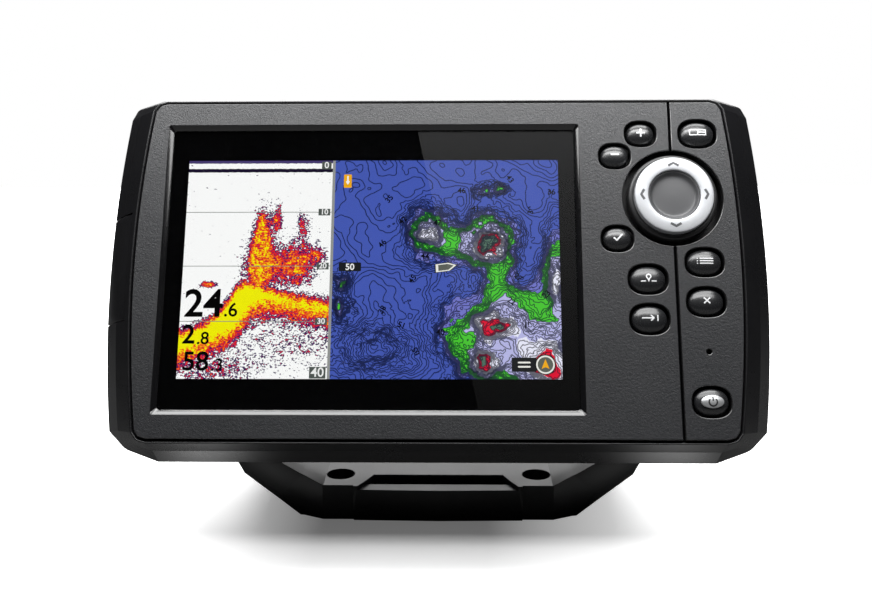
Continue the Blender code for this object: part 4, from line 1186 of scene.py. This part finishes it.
# Middle and size of the bright card on each side, which only other rays find
CARD, CARD_GLOW = ((0.073, -0.048), (0.012, 0.0045)), 4.2
# Each light's place, the point it faces, its size and its power
LIGHTS = {
    "key_softbox": ((0.0, -0.54, 1.12), (0, 0, 0.06), (1.4, 0.26), 9.0),
    "near_strip": ((0.0, -0.12, 0.36), (0, -0.02, 0.12), (0.5, 0.07), 0.35),
    "brow_strip": ((0.0, -0.05, 0.19), (0, -0.03, 0.08), (0.26, 0.03), 0.13),
    "top_softbox": ((0.0, 0.40, 1.05), (0, 0, 0.06), (1.2, 0.9), 22.0),
    "back_panel": ((0.0, 0.95, 0.48), (0, 0, 0.05), (0.9, 0.3), 3.0),
    "back_glow": ((0.0, 0.95, 0.18), (0, 0, 0.10), (1.6, 0.2), 0.8),
}
CAMERA_PLACE = (0.00649, -0.32615, 0.13686)
CAMERA_AHEAD, CAMERA_UP = Vector((-0.0216, 0.9763, -0.2154)), Vector((0, 0.2155, 0.9765))
CAMERA_LENS, CAMERA_SENSOR = 43.84, 36.0     # millimetres


def bare_tree(owner):
    """Emptied node tree of a new material or world."""
    owner.use_nodes = True
    owner.node_tree.nodes.clear()
    return owner.node_tree


def show_by_ray(tree, output, unseen, seen):
    """Give camera rays what is seen, and all other rays what is unseen."""
    ray = add_node(tree, "LightPath").outputs["Is Camera Ray"]
    add_node(tree, output, {"Surface": add_node(tree, "MixShader", {"Fac": ray, 1: unseen, 2: seen})})


def build_floor():
    """White floor with painted light: an emission that only the camera sees brightens it away from the object
    and to its sides, so it is painted darker near the object. Other rays than the camera's find it dim.
    """
    bm = bmesh.new()
    bm.faces.new([bm.verts.new((x, y, 0)) for x, y in FLOOR])
    floor = linked("floor", mesh_from(bm, "floor"))
    material = bpy.data.materials.new("floor_white_painted_light")
    tree = bare_tree(material)
    x, y = split_axes(tree, surface_place(tree))
    # Painted light: an emission that only the camera sees, weakest near the object and rising away from it
    # and to its sides, paints the floor darker around the object.
    away = (x * x + y * y).math("SQRT").ramp(0.08, 0.26)
    aside = abs(x + 0.01).ramp(0.025, 0.08)
    lift = add_node(tree, "Emission", {"Strength": away * 0.9 + aside * 0.6 + 0.12})
    bright = add_node(tree, "BsdfDiffuse", {"Color": (0.92, 0.92, 0.92, 1)})
    dim = add_node(tree, "BsdfDiffuse", {"Color": (0.12, 0.12, 0.12, 1)})
    cards = add_node(tree, "Emission", {"Strength": blob(abs(x), y, *CARD) * CARD_GLOW})
    show_by_ray(tree, "OutputMaterial", add_node(tree, "AddShader", {0: dim, 1: cards}),
                add_node(tree, "AddShader", {0: bright, 1: lift}))
    floor.data.materials.append(material)


def build_world():
    world = bpy.data.worlds.new("studio")
    bpy.context.scene.world = world
    tree = bare_tree(world)
    show_by_ray(tree, "OutputWorld", add_node(tree, "Background", {"Color": (0.012, 0.012, 0.013, 1)}),
                add_node(tree, "Background", {"Color": (1, 1, 1, 1)}))


def build_lights():
    for name, (place, aim, size, power) in LIGHTS.items():
        light = bpy.data.lights.new(name, "AREA")
        light.shape = "RECTANGLE"
        light.size, light.size_y = size
        light.energy = power
        obj = linked(name, light)
        obj.location = place
        obj.rotation_euler = (Vector(aim) - Vector(place)).to_track_quat("-Z", "Y").to_euler()
        obj.visible_camera = False


def build_glare():
    """A tall panel that the cover glass mirrors as a slanted glare, brightest at its top."""
    bm = bmesh.new()
    uv = bm.loops.layers.uv.new("fade")
    face = bm.faces.new([bm.verts.new(corner) for corner in GLARE])
    for loop, fade in zip(face.loops, ((0, 1), (1, 1), (1, 0), (0, 0))):
        loop[uv].uv = fade
    panel = linked("glare_panel", mesh_from(bm, "glare_panel"))
    material = bpy.data.materials.new("glare_glow")
    tree = bare_tree(material)
    _, height = split_axes(tree, add_node(tree, "UVMap", uv_map="fade").outputs["UV"])
    light = add_node(tree, "Emission", {"Color": (1, 1, 1, 1), "Strength": height * height * 0.78 + 0.03})
    add_node(tree, "OutputMaterial", {"Surface": light})
    panel.data.materials.append(material)
    panel.visible_camera = False
    panel.visible_shadow = False


def build_camera():
    camera = bpy.data.cameras.new("camera")
    camera.lens = CAMERA_LENS
    camera.sensor_width = CAMERA_SENSOR
    camera.clip_start = 0.01
    obj = linked("camera", camera)
    ahead = CAMERA_AHEAD.normalized()
    side = ahead.cross(CAMERA_UP).normalized()
    turn = Matrix((side, side.cross(ahead), -ahead)).transposed().to_4x4()
    obj.matrix_world = Matrix.Translation(CAMERA_PLACE) @ turn
    bpy.context.scene.camera = obj
    bpy.context.scene.view_settings.view_transform = "Standard"


build_bezel()
build_display()
build_chart_marks()
build_numbers()
for key_name in KEY_NAMES:
    build_key(key_name)
build_power_lens()
build_pad()
build_door()
build_shell()
build_sockets()
build_screws()
build_bracket()
for knob_side, knob_word in ((-1, "left"), (1, "right")):
    build_knob(knob_side, knob_word)
dress_nodes()
build_floor()
build_world()
build_lights()
build_glare()
build_camera()
